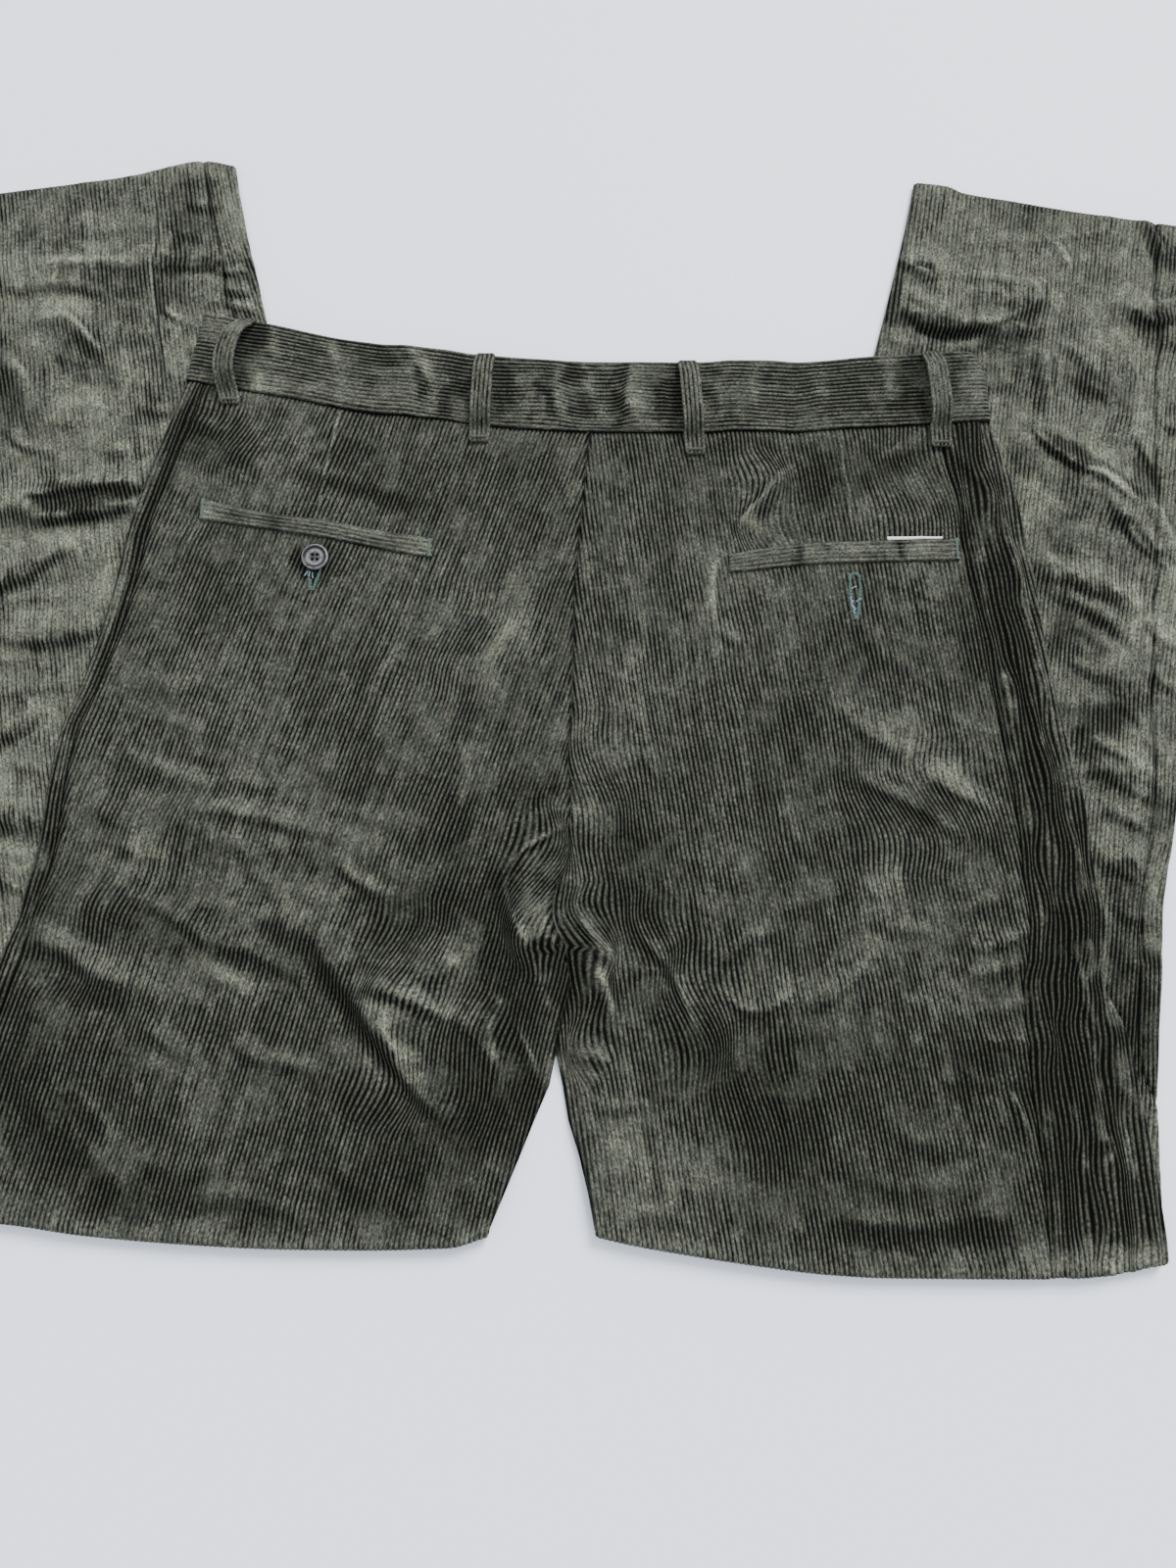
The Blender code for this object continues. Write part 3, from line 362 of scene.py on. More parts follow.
LOWER_FOLDS = [
    Fold(-328, 296, -300, 305, -252, 308, 8, 3.2, -1),
    Fold(-320, 291, -292, 296, -256, 300, 5, -1.4, 0),
    Fold(-316, 284, -290, 290, -256, 294, 6, 2.2, -0.9),
    Fold(-356, 282, -330, 292, -312, 288, 8, 1.5, -0.6),
    Fold(-344, 242, -318, 252, -300, 268, 8, 2.0, -0.8),
    Fold(-330, 234, -312, 240, -292, 240, 7, 1.2, -0.5),
    Fold(-326, 216, -300, 214, -268, 224, 8, 1.7, -0.7),
    Fold(-352, 204, -334, 206, -316, 202, 8, 1.3, -0.5),
    Fold(-322, 190, -300, 188, -280, 194, 7, 1.0, -0.4),
    Fold(-334, 152, -318, 158, -302, 172, 8, 1.4, -0.6),
    Fold(-348, 132, -330, 136, -310, 132, 7, 1.2, -0.5),
    Fold(-342, 110, -320, 112, -296, 108, 8, 1.6, -0.7),
    Fold(-346, 86, -330, 82, -312, 84, 7, 1.2, 0.5),
    Fold(-340, 64, -326, 60, -310, 64, 7, 1.2, -0.5),
    Fold(-350, 430, -318, 436, -284, 432, 9, 1.7, -0.6),
    Fold(-330, 446, -300, 451, -262, 447, 7, 1.5, 0.5),
    Fold(-262, 450, -240, 446, -214, 450, 5, 1.8, -0.8),
    Fold(-228, 446, -212, 445, -198, 445, 5, 2.0, -0.8),
    Fold(-216, 434, -206, 432, -192, 434, 5, 1.7, -0.7),
    Fold(-214, 424, -204, 421, -190, 420, 5, 1.4, -0.6),
    Fold(-220, 458, -210, 460, -200, 457, 5, 1.3, 0.5),
    Fold(-252, 420, -244, 415, -232, 412, 5, 1.3, -0.6),
    Fold(-260, 492, -256, 430, -246, 366, 2, -0.6, 0),
    Fold(-312, 414, -298, 404, -284, 386, 8, 1.7, 0.6),
    Fold(-344, 396, -334, 380, -326, 362, 9, 1.5, 0.6),
    Fold(-366, 404, -352, 394, -340, 374, 9, 1.5, -0.6),
    Fold(-262, 358, -250, 355, -238, 356, 7, 1.2, -0.5),
    Fold(-334, 346, -322, 332, -304, 328, 8, 1.4, -0.5),
    Fold(-286, 330, -268, 329, -250, 332, 5, 1.0, -0.5),
    Fold(-318, 470, -304, 462, -292, 458, 8, 1.1, -0.5),
    Fold(-244, 494, -232, 490, -222, 492, 6, 1.3, -0.5),
    Fold(-250, 476, -240, 470, -230, 472, 7, 1.0, -0.5),
    Fold(184, 450, 196, 446, 210, 441, 5, 2.2, 0.9),
    Fold(206, 443, 236, 441, 268, 436, 5, 1.1, -0.5),
    Fold(268, 438, 266, 426, 258, 414, 6, 1.2, -0.5),
    Fold(186, 420, 214, 405, 262, 420, 8, 3.0, -1),
    Fold(190, 412, 216, 400, 250, 409, 6, -1.4, 0),
    Fold(230, 402, 246, 403, 264, 401, 7, 1.9, -0.9),
    Fold(182, 432, 196, 424, 208, 422, 8, 1.4, -0.5),
    Fold(172, 404, 188, 398, 204, 398, 8, 1.2, -0.4),
    Fold(334, 484, 340, 468, 344, 452, 7, 1.8, 0.7),
    Fold(326, 416, 336, 411, 348, 414, 7, 2.2, -0.9),
    Fold(330, 424, 342, 424, 354, 428, 6, 1.3, 0.5),
    Fold(344, 396, 358, 392, 372, 396, 6, 1.4, -0.6),
    Fold(330, 348, 342, 344, 356, 350, 6, 1.5, -0.7),
    Fold(278, 466, 284, 456, 286, 440, 6, 1.0, 0.5),
    Fold(276, 396, 288, 392, 300, 378, 8, 1.2, 0.5),
    Fold(264, 390, 268, 370, 264, 344, 8, 1.4, 0.5),
    Fold(286, 372, 298, 366, 304, 358, 6, 1.2, -0.6),
    Fold(258, 340, 276, 322, 310, 306, 8, 2.8, -1),
    Fold(284, 312, 300, 306, 314, 294, 7, 1.7, -0.8),
    Fold(298, 292, 310, 274, 326, 256, 8, 1.6, -0.9),
    Fold(256, 254, 278, 244, 308, 232, 8, 1.8, -0.8),
    Fold(262, 240, 282, 230, 302, 214, 7, 1.3, -0.6),
    Fold(262, 226, 278, 218, 292, 208, 7, 1.1, -0.5),
    Fold(264, 204, 278, 196, 296, 190, 7, 1.1, -0.5),
    Fold(274, 180, 290, 178, 306, 166, 7, 1.2, -0.6),
    Fold(272, 160, 286, 150, 304, 142, 7, 1.5, -0.7),
    Fold(276, 142, 292, 132, 310, 122, 7, 1.5, -0.7),
    Fold(280, 120, 292, 112, 302, 108, 6, 1.2, -0.6),
    Fold(276, 88, 286, 84, 298, 78, 6, 1.5, -0.8),
    Fold(280, 66, 288, 60, 298, 60, 6, 1.1, -0.5),
    Fold(284, 40, 290, 36, 298, 40, 6, 1.1, 0.5),
    Fold(316, 300, 326, 286, 334, 262, 8, 1.4, 0.5),
    Fold(312, 226, 322, 214, 336, 210, 7, 1.2, -0.5),
    Fold(310, 196, 320, 188, 332, 188, 7, 1.1, -0.5),
    Fold(318, 336, 326, 320, 330, 300, 7, 1.2, -0.5),
]
FOLD_POINTS = 9  # a fold is a line of so many points
FOLD_TIP = 0.02  # it is cut off this share of its length from each tip, where it is lowest
FOLD_TAPER = 0.6  # the smaller, the sooner it has its full height
STEEP_NARROWS = 0.55  # how much narrower its steep side is
FOLD_LEAN = 0.6  # how far its crest leans over, for its height

# Where the wales are pulled out of line: a patch, with how many degrees they lean towards +x there.
Sway = namedtuple("Sway", "x y reach_x reach_y lean")
SEAT_SWAYS = [
    Sway(-27, 76, 20, 40, -30),
    Sway(-94, 42, 26, 26, -20),
    Sway(-102, -8, 24, 36, 22),
    Sway(-60, -16, 22, 34, 12),
    Sway(-2, 12, 16, 34, -26),
    Sway(2, 54, 16, 22, 30),
    Sway(36, 48, 20, 24, 16),
    Sway(56, 10, 22, 34, 18),
    Sway(84, -34, 24, 40, 8),
    Sway(176, 120, 44, 34, 24),
    Sway(184, 304, 30, 34, 14),
    Sway(100, 296, 18, 30, -24),
    Sway(6, 136, 22, 34, 14),
    Sway(-72, 216, 30, 30, -10),
    Sway(-206, 334, 30, 26, -14),
    Sway(-216, 92, 46, 30, 10),
    Sway(-268, 50, 30, 30, 16),
]
LOWER_SWAYS = [
    Sway(-300, 392, 26, 30, 6),
    Sway(-236, 440, 26, 30, -6),
    Sway(-310, 262, 34, 30, 7),
    Sway(240, 410, 36, 26, -7),
    Sway(296, 316, 34, 30, 8),
    Sway(286, 220, 26, 40, -5),
    Sway(340, 410, 18, 26, 8),
]

# Patches where the cloth is coloured darker or lighter, turned by so many degrees. They add up.
# Some are the pile lying darker or lighter; others are painted shade in creases, troughs and shadows,
# and painted light on ridges.
Tone = namedtuple("Tone", "x y reach_x reach_y turn tone")
SEAT_TONES = [
    # Pile patches mixed with painted shade along troughs and creases, as at x -287, -46, 142 and 190,
    # and painted light along some ridges.
    Tone(-86, 62, 34, 18, 20, -0.6),
    Tone(-46, 64, 10, 24, -10, -0.9),
    Tone(-18, 40, 18, 9, 0, -0.9),
    Tone(-9, 28, 8, 16, 10, -1.3),
    Tone(-42, -32, 20, 34, 20, -1.1),
    Tone(-62, -10, 14, 22, 20, -0.8),
    Tone(-110, -48, 30, 10, -50, -0.5),
    Tone(-98, -12, 10, 40, 32, 0.8),
    Tone(-76, 12, 26, 9, -20, 0.5),
    Tone(-58, 44, 26, 8, 42, 0.2),
    Tone(-26, 60, 12, 16, 0, 0.3),
    Tone(-104, -76, 34, 16, 0, -0.5),
    Tone(2, 16, 10, 22, 20, -0.8),
    Tone(8, 30, 6, 20, 15, 0.6),
    Tone(26, 62, 16, 24, 0, -0.6),
    Tone(46, 18, 8, 20, 25, 0.3),
    Tone(70, -14, 20, 40, 38, -0.8),
    Tone(96, -38, 34, 26, 0, -0.4),
    Tone(96, 14, 34, 16, 20, 0.15),
    Tone(128, 32, 26, 12, 30, 0.4),
    Tone(150, 52, 30, 16, 10, 0.35),
    Tone(104, 56, 30, 14, 25, 0.25),
    Tone(44, -66, 40, 30, -30, 0.4),
    Tone(14, -36, 16, 30, 10, 0.35),
    Tone(142, -100, 28, 5, -6, -0.9),
    Tone(190, -96, 28, 6, 5, -1.2),
    Tone(190, -28, 4, 16, 0, -1.0),
    Tone(160, 60, 150, 190, 0, -0.16),
    Tone(-170, -20, 150, 110, 0, -0.12),
    Tone(210, 14, 18, 5, 8, 0.3),
    Tone(206, 36, 16, 6, 14, 0.35),
    Tone(213, 54, 20, 5, 10, 0.25),
    Tone(216, -6, 16, 4, 0, -0.7),
    Tone(222, -34, 9, 20, 0, -0.5),
    Tone(150, 170, 34, 20, -30, 0.35),
    Tone(196, 136, 30, 14, -32, 0.6),
    Tone(174, 118, 50, 12, -30, -0.3),
    Tone(104, 128, 24, 22, 0, -0.35),
    Tone(92, 292, 8, 26, 20, 0.6),
    Tone(134, 306, 16, 14, 0, -0.7),
    Tone(172, 316, 26, 8, 25, -0.6),
    Tone(68, 236, 7, 34, 0, 0.6),
    Tone(98, 246, 22, 14, 0, 0.3),
    Tone(-56, 203, 17, 46, -36, 0.3),
    Tone(-66, 112, 8, 34, 5, -0.1),
    Tone(-214, 46, 62, 8, -20, -0.55),
    Tone(-270, 58, 34, 8, -30, -0.6),
    Tone(-236, 32, 34, 12, -20, 0.5),
    Tone(-184, 28, 26, 10, -25, 0.5),
    Tone(-146, -10, 34, 9, -25, 0.0),
    Tone(-254, 16, 26, 6, -22, -0.6),
    Tone(-296, 0, 26, 50, 10, -0.6),
    Tone(-268, -50, 26, 18, -40, -0.6),
    Tone(-230, -78, 36, 14, -8, -0.6),
    Tone(-156, 100, 46, 10, -20, 0.5),
    Tone(-200, 110, 26, 12, 0, 0.35),
    Tone(-176, 80, 22, 10, -30, 0.4),
    Tone(-222, 140, 30, 10, -10, 0.3),
    Tone(-128, 84, 22, 8, -30, 0.4),
    Tone(-126, 302, 40, 7, -14, -0.6),
    Tone(-240, 184, 34, 10, -10, -0.15),
    Tone(-238, 340, 24, 22, 0, -0.7),
    Tone(-287, 108, 6, 22, 0, -1.2),
    Tone(-202, 282, 22, 6, -8, 0.4),
    # a painted shadow round the button
    Tone(-154, 258, 12, 12, 0, -1.4),
    # painted shade in the creases round the crotch and under the edge of the thigh there, with painted
    # light on their ridges
    Tone(-39, 0, 6, 24, 13, -1.5),
    Tone(-33, -30, 7, 18, 10, -1.6),
    Tone(-76, -54, 28, 20, 0, -0.8),
    Tone(-50, 28, 8, 14, 0, -0.6),
    Tone(-100, -36, 9, 9, 0, -0.7),
    Tone(-104, 10, 9, 8, 0, 0.5),
    Tone(-122, 2, 9, 9, 0, -0.5),
    Tone(22, 104, 9, 12, 0, -0.4),
    Tone(-50, -4, 5, 20, 12, 0.5),
    Tone(-133, 26, 5, 18, 38, -0.7),
    Tone(-106, -10, 5, 30, 36, -0.9),
    Tone(-82, -40, 4, 14, 43, -0.6),
    Tone(-92, -16, 4, 34, 35, 0.45),
    Tone(-25, 42, 15, 6, 0, -1.6),
    Tone(-13, 24, 6, 18, 4, -1.8),
    Tone(-37, 56, 3.5, 16, 18, 0.5),
    Tone(-52, 80, 4, 24, -50, -0.8),
    Tone(-98, 100, 14, 7, -30, -0.5),
    Tone(-41, 30, 4, 10, 10, -0.8),
    Tone(67, -14, 5, 20, 22, -0.6),
    # painted light on the ridges and painted shade in the valleys along the strip beside the right outer
    # seam
    Tone(241, 250, 4, 30, 3, 0.9),
    Tone(246, 200, 4, 32, 8, 0.8),
    Tone(254, 142, 4, 32, 12, 0.6),
    Tone(259, 100, 4, 16, 10, 0.7),
    Tone(231, 248, 4, 30, 3, -0.5),
    Tone(236, 212, 4.5, 26, 6, -0.7),
    Tone(242, 174, 3.5, 24, 14, -0.7),
    Tone(248, 140, 3.5, 24, 8, -1.1),
    Tone(254, 102, 3.5, 20, 14, -0.7),
    Tone(222, 262, 4, 18, 2, 0.8),
    Tone(229, 190, 4, 26, 4, 0.4),
    Tone(236, 168, 4, 34, 10, 0.6),
    Tone(246, 106, 4, 28, 8, 0.9),
    Tone(263, 42, 4, 40, -3, -0.9),
    Tone(257, 20, 4, 30, 0, 0.5),
    Tone(271, -20, 5, 26, -6, -1.5),
    Tone(263, -22, 4, 30, -4, 0.5),
    Tone(258, -56, 5, 20, 0, 1.0),
    Tone(246, -2, 4.5, 38, -5, -0.8),
    Tone(238, 62, 4, 24, 0, 0.3),
    Tone(258, -108, 42, 9, 0, 1.0),
    # broad patches
    Tone(-206, 328, 30, 24, 0, -0.55),
    Tone(-132, 326, 24, 14, 0, -0.3),
    Tone(-32, 325, 24, 14, 0, -0.35),
    Tone(144, 318, 42, 20, 0, -0.3),
    Tone(217, 215, 20, 46, 0, -0.5),
    Tone(100, 170, 28, 20, 0, -0.4),
    Tone(136, 188, 22, 12, 0, -0.3),
    Tone(-26, 128, 32, 13, 0, -0.5),
    Tone(-68, 104, 15, 40, 0, -0.4),
    Tone(25, 98, 20, 15, 0, -0.45),
    Tone(8, 62, 11, 26, 0, -0.6),
    Tone(50, 36, 10, 14, 0, -0.5),
    Tone(-36, 12, 18, 34, 0, -0.45),
    Tone(108, -18, 22, 17, 0, -0.45),
    Tone(150, -40, 120, 70, 0, -0.15),
    Tone(-286, 70, 12, 34, 0, -0.35),
    Tone(-250, 36, 32, 8, -10, -0.3),
    Tone(-38, 228, 11, 24, 0, 0.4),
    Tone(28, 190, 16, 54, 0, 0.3),
    Tone(75, 212, 11, 18, 0, 0.4),
    Tone(92, 270, 22, 24, 0, 0.35),
    Tone(174, 264, 22, 16, 0, 0.25),
    Tone(165, 140, 20, 20, 0, 0.4),
    Tone(212, 115, 18, 12, 0, 0.45),
    Tone(155, 78, 17, 17, 0, 0.7),
    Tone(75, 92, 17, 16, 0, 0.3),
    Tone(185, 22, 17, 18, 0, 0.5),
    Tone(-32, 25, 9, 14, 0, 0.3),
    Tone(-160, 62, 17, 16, 0, 0.8),
    Tone(-128, 76, 24, 9, 0, 0.5),
    Tone(-240, 90, 19, 18, 0, 0.7),
    Tone(-190, 120, 17, 34, 0, 0.45),
    Tone(-272, 30, 22, 9, 0, 0.5),
    Tone(196, 258, 26, 8, 0, 0.3),
]
LOWER_TONES = [
    # Mostly painted shade along the folds and creases of the lower legs and a painted shadow beside the
    # right thigh's outer edge at x 285, with painted light on some ridges.
    Tone(-282, 380, 44, 56, 0, 0.15),
    Tone(-284, 304, 38, 6, 0, -1.2),
    Tone(-284, 292, 32, 5, 3, -1.1),
    Tone(-318, 252, 30, 6, 30, -0.8),
    Tone(-300, 216, 34, 6, 5, -0.45),
    Tone(-320, 156, 26, 7, 30, -0.6),
    Tone(-316, 110, 34, 7, 0, -0.9),
    Tone(-322, 72, 30, 7, 0, -0.7),
    Tone(-300, 440, 60, 6, 4, -0.4),
    Tone(-292, 431, 40, 5, -5, -0.3),
    Tone(-232, 449, 30, 4, 0, -1.3),
    Tone(-238, 480, 20, 34, 0, -0.6),
    Tone(-206, 440, 14, 22, 0, -0.4),
    Tone(-296, 398, 8, 26, 35, -0.7),
    Tone(-350, 386, 16, 30, 20, -0.8),
    Tone(-330, 352, 10, 26, 20, -0.6),
    Tone(-252, 420, 6, 60, -4, -0.5),
    Tone(-250, 356, 20, 12, 0, -0.4),
    Tone(-340, 494, 80, 16, 5, -0.3),
    Tone(196, 447, 16, 4, -20, -1.4),
    Tone(212, 409, 34, 6, -8, -1.6),
    Tone(246, 402, 22, 5, 0, -1.2),
    Tone(262, 418, 6, 20, -20, -0.6),
    Tone(270, 368, 10, 34, 0, -0.2),
    Tone(292, 370, 20, 10, -20, -0.7),
    Tone(284, 322, 38, 6, -34, -1.4),
    Tone(312, 276, 30, 6, -50, -1.3),
    Tone(284, 244, 34, 5, -24, -1.1),
    Tone(270, 214, 20, 26, 0, -0.5),
    Tone(296, 290, 40, 20, -45, 0.5),
    Tone(256, 296, 18, 30, 0, 0.4),
    Tone(292, 132, 26, 8, -30, -0.6),
    Tone(280, 166, 20, 14, 0, -0.7),
    Tone(288, 84, 18, 6, -20, -1.2),
    Tone(285, 20, 17, 62, 0, -1.1),
    Tone(342, 468, 8, 26, 15, -0.8),
    Tone(336, 413, 16, 6, 0, -1.3),
    Tone(258, 486, 60, 16, -8, -0.3),
    # broad patches
    Tone(-322, 466, 46, 13, 4, -0.45),
    Tone(-282, 408, 20, 26, 20, -0.35),
    Tone(-316, 372, 26, 20, 0, -0.4),
    Tone(245, 421, 24, 11, 0, -0.5),
    Tone(350, 426, 15, 13, 0, -0.4),
    Tone(226, 375, 27, 11, 0, -0.45),
    Tone(268, 278, 12, 22, 0, -0.5),
    Tone(318, 312, 15, 24, 0, -0.6),
    Tone(287, 178, 21, 17, 0, -0.7),
    Tone(310, 115, 15, 20, 0, -0.5),
    Tone(268, 318, 13, 11, 0, 0.45),
    Tone(318, 238, 24, 28, 0, 0.75),
    Tone(327, 350, 11, 32, 0, 0.6),
    Tone(332, 170, 13, 42, 0, 0.6),
]
FADE = 12.0  # the creases die out over this distance from an edge that rests on a layer
RIM_FADE = 8.0  # the seat's finer folds over this one
FREE_FADE = 6.0  # and those of a lower leg over this one from its free edges
COVER_TUCK = 4.0  # its finer folds go on this far under what covers it
UNDER = 0.45  # how much of a ridge the wall under it shares
DEEPEST = -1.4  # a trough stops short of the wall under it
SWAY_FADE = 15.0  # the wales are back in line over this distance from an edge
BAND_PULL = 12.0  # the waistband holds the seat level with it over this distance

# Smooth noises: how strong each is, its seed, and the size of its features in mm.
Drift = namedtuple("Drift", "gain seed size_x size_y")
LATTICE = 64  # cells before a noise repeats
WALE_WANDER = [Drift(1.2, 5, 46, 60), Drift(0.55, 6, 17, 24)]
RAGGED_X = [Drift(5, 11, 9, 9), Drift(3, 12, 4, 6)]  # what makes the rims of the patches ragged
RAGGED_Y = [Drift(2.5, 13, 8, 6), Drift(1.5, 14, 4, 3)]
BROKEN = [Drift(0.55, 15, 6, 10)]  # and their insides uneven
FOLD_WARP_X, FOLD_WARP_Y = [Drift(1.6, 21, 19, 15)], [Drift(1.6, 22, 17, 13)]
WAIST_UNEVEN = [Drift(0.6, 53, 24, 60)]
BAND_WANDER = [Drift(0.7, 43, 24, 30)]

# Thin, broken ridges between the folds, which run mostly at an angle to +x, in degrees.
Crumple = namedtuple("Crumple", "gain seed length width turn")
SEAT_CRUMPLES = [Crumple(0.5, 31, 44, 15, -22), Crumple(0.35, 33, 30, 11, 16)]
LOWER_CRUMPLES = [Crumple(0.8, 35, 38, 13, 6), Crumple(0.5, 37, 20, 9, -10)]
BAND_CRUMPLES = [Crumple(0.5, 41, 16, 24, 80)]
CRUMPLE_SHARP = 4  # the higher, the thinner they are
COVER_GAIN, COVER_X, COVER_Y = 0.9, 47, 38  # the patches of cloth that have them

# ---------------------------------------------------------------- waistband and trim, mm
BAND_HEIGHT = 45.0
BAND_WALL = 2.4
BAND_TURN = 10.0  # how far its inside is modelled
BAND_LAYER = 1.5  # from the middle of the flat band to the middle of its wall
BAND_REACH = 229.0
BAND_SLIT = 0.002  # half the gap between its ends at the centre front, as a share of its reach
BAND_SEWN = 0.3  # how much of a fold is left where the band is sewn
BAND_HOLD = 0.6  # how soon its wales come free of its sewn edges
BAND_DEEPEST = -0.8  # a trough stops here
BAND_LEFT = [Edge(-234, 0), Edge(-229.5, 0.5), Edge(-225.5, 1)]
BAND_RIGHT = [Edge(232.5, 0), Edge(229, 0.8), Edge(225.5, 0.94), Edge(220, 1)]

BAND_FOLDS = [
    Fold(-108, 396, -98, 380, -90, 362, 8, 1.2, -0.5),
    Fold(-18, 384, -19, 364, -16, 344, 8, 1.3, -0.6),
    Fold(-4, 384, 2, 366, 10, 346, 8, 1.0, 0.5),
    Fold(27, 382, 24, 364, 27, 346, 9, 1.8, -0.8),
    Fold(44, 384, 42, 366, 46, 348, 7, 1.0, 0.5),
    Fold(-160, 404, -152, 392, -146, 378, 8, 0.8, -0.4),
    Fold(-190, 408, -184, 392, -186, 376, 8, 0.8, 0.4),
    Fold(98, 382, 94, 366, 96, 350, 8, 0.8, 0.4),
    Fold(128, 384, 134, 366, 132, 350, 9, 0.7, -0.4),
    Fold(168, 386, 174, 370, 170, 354, 8, 0.9, 0.4),
]
# How far the wales of the waistband are pulled up or down, along it.
BAND_DROPS = [
    Edge(-210, 0),
    Edge(-150, 1.0),
    Edge(-104, 1.2),
    Edge(-90, -1.0),
    Edge(-60, -0.6),
    Edge(-26, 1.4),
    Edge(-2, -2.0),
    Edge(14, -2.6),
    Edge(28, 1.0),
    Edge(50, 0.6),
    Edge(84, 1.0),
    Edge(104, -0.8),
    Edge(140, 0.8),
    Edge(180, -0.4),
    Edge(210, 0),
]
# Some patches are the pile lying darker or lighter; others are painted shade beside the band's folds and
# painted shadows beside the belt loops, at x -205 and -196 by the first, -78 and -51 by the second, 47
# and 72 by the third, and 185 and 211 by the fourth.
BAND_TONES = [
    Tone(-196, 396, 8, 16, -20, -0.9),
    Tone(-205, 372, 8, 14, 0, -1.0),
    Tone(-181, 369, 18, 7, -8, 0.6),
    Tone(-150, 393, 22, 8, -8, 0.0),
    Tone(-160, 370, 22, 6, -8, 0.3),
    Tone(-122, 390, 22, 7, -12, -0.8),
    Tone(-105, 379, 5, 12, 10, 0.45),
    Tone(-98, 371, 5, 13, 15, -0.9),
    Tone(-94, 356, 18, 5, -6, 0.45),
    Tone(-78, 368, 9, 22, 0, -1.1),
    Tone(-51, 369, 6, 20, 0, -0.9),
    Tone(-36, 360, 10, 14, 0, 0.3),
    Tone(-25, 363, 4, 14, 10, -0.9),
    Tone(-11, 375, 7, 7, -30, -0.7),
    Tone(-2, 356, 8, 10, 0, -0.4),
    Tone(19, 380, 4, 8, -10, -0.9),
    Tone(15, 362, 4, 14, 8, -1.1),
    Tone(19, 347, 5, 8, -20, -0.7),
    Tone(28, 360, 8, 14, -10, 0.2),
    Tone(47, 361, 9, 24, 0, -1.2),
    Tone(72, 364, 5, 22, 0, -0.4),
    Tone(104, 354, 30, 8, 0, -0.15),
    Tone(112, 374, 26, 6, 0, -0.3),
    Tone(150, 364, 16, 18, 0, -0.25),
    Tone(185, 370, 9, 26, 0, -1.3),
    Tone(211, 372, 6, 18, 0, -1.0),
    Tone(227, 366, 6, 16, 0, 0.35),
]

LOOP_WIDTH = 12.0
LOOP_WALL = 1.8
Loop = namedtuple("Loop", "name x_foot y_foot x_head bow_side bow_up")
LOOPS = [
    Loop("belt_loop_1", -206, 10, -199, -6, 8.0),
    Loop("belt_loop_2", -63, 11, -60, 0, 6.0),
    Loop("belt_loop_3", 62, 14, 58, 0, 6.0),
    Loop("belt_loop_4", 202, 15, 199, 1, 6.0),
]
LOOP_STATIONS, FRONT_LOOP_STATIONS = 45, 12
LOOP_TACK = 1.0  # sewn down over this much of its head
TACK_AT = 2  # the station of a loop's line with its stitches
LOOP_FREE = 5.0  # how far below the waist seam its bow starts
LOOP_RISE = 15.0
LOOP_FALL = 13.0
LOOP_STEP = 4.0  # it steps up onto the waistband over this distance
STRAP_END = 2.6  # a strap is rounded off over this distance
STRAP_NARROWS, STRAP_THINS = 0.2, 0.35  # by so much of its width and thickness
STRAP_TOP_POINTS, STRAP_EDGE_POINTS, STRAP_UNDER_POINTS = 21, 6, 5
FRONT_LOOP_X = 95.0
FRONT_LOOP_RISE = 2.2
FRONT_LOOP_FLAT = 10.0
FRONT_LOOP_SHOULDER = 18.0

WELT_WALL = 1.2
WELT_CROWN = 0.5
WELT_COLUMN = 1.6
WELT_END = 0.3  # its ends roll down over this distance
WELT_EDGE, WELT_ROWS = (0, 0.25, 0.6), 17  # rows on its rolled edge, and between its edges
WELT_SINK = 0.4  # how far its edges sink into the panel
LIE_GAP = 0.4
Welt = namedtuple("Welt", "name top bottom")
WELTS = [
    Welt(
        "welt_left",
        [Edge(-219, 296.5), Edge(-185, 288.5), Edge(-145, 283), Edge(-88, 274.5)],
        [Edge(-219, 283.5), Edge(-153, 273.5), Edge(-88, 262.5)],
    ),
    Welt(
        "welt_right",
        [Edge(79.5, 265), Edge(99, 268.5), Edge(155, 271), Edge(208, 272.5)],
        [Edge(79.5, 254), Edge(144, 257.5), Edge(208, 259)],
    ),
]
WELT_TONES = [
    Tone(-214, 290, 8, 10, 0, 0.3),
    Tone(-196, 285, 7, 8, 0, -0.4),
    Tone(-176, 281, 8, 8, 0, -0.5),
    Tone(-150, 277, 12, 8, 0, -0.2),
    Tone(-112, 270, 16, 8, 0, -0.2),
    Tone(-92, 268, 5, 8, 0, 0.3),
    Tone(88, 262, 10, 8, 0, 0.1),
    Tone(119, 264, 4, 9, 0, -0.9),
    Tone(136, 265, 4, 9, 0, -0.4),
    Tone(150, 266, 8, 9, 0, 0.3),
    Tone(174, 267, 5, 9, 0, -0.7),
    Tone(190, 268, 8, 9, 0, 0.4),
    Tone(204, 266, 3, 9, 0, -0.7),
]
POCKETING_WALL = 1.0
POCKETING_LENGTH = 31.0
POCKETING_DEPTH, POCKETING_END = 1.9, 1.1
POCKETING_TUCK = 0.5  # how far it goes on under the welt's edge
POCKETING_START = 168.0
POCKETING_COLUMNS, POCKETING_ROWS = 32, 8

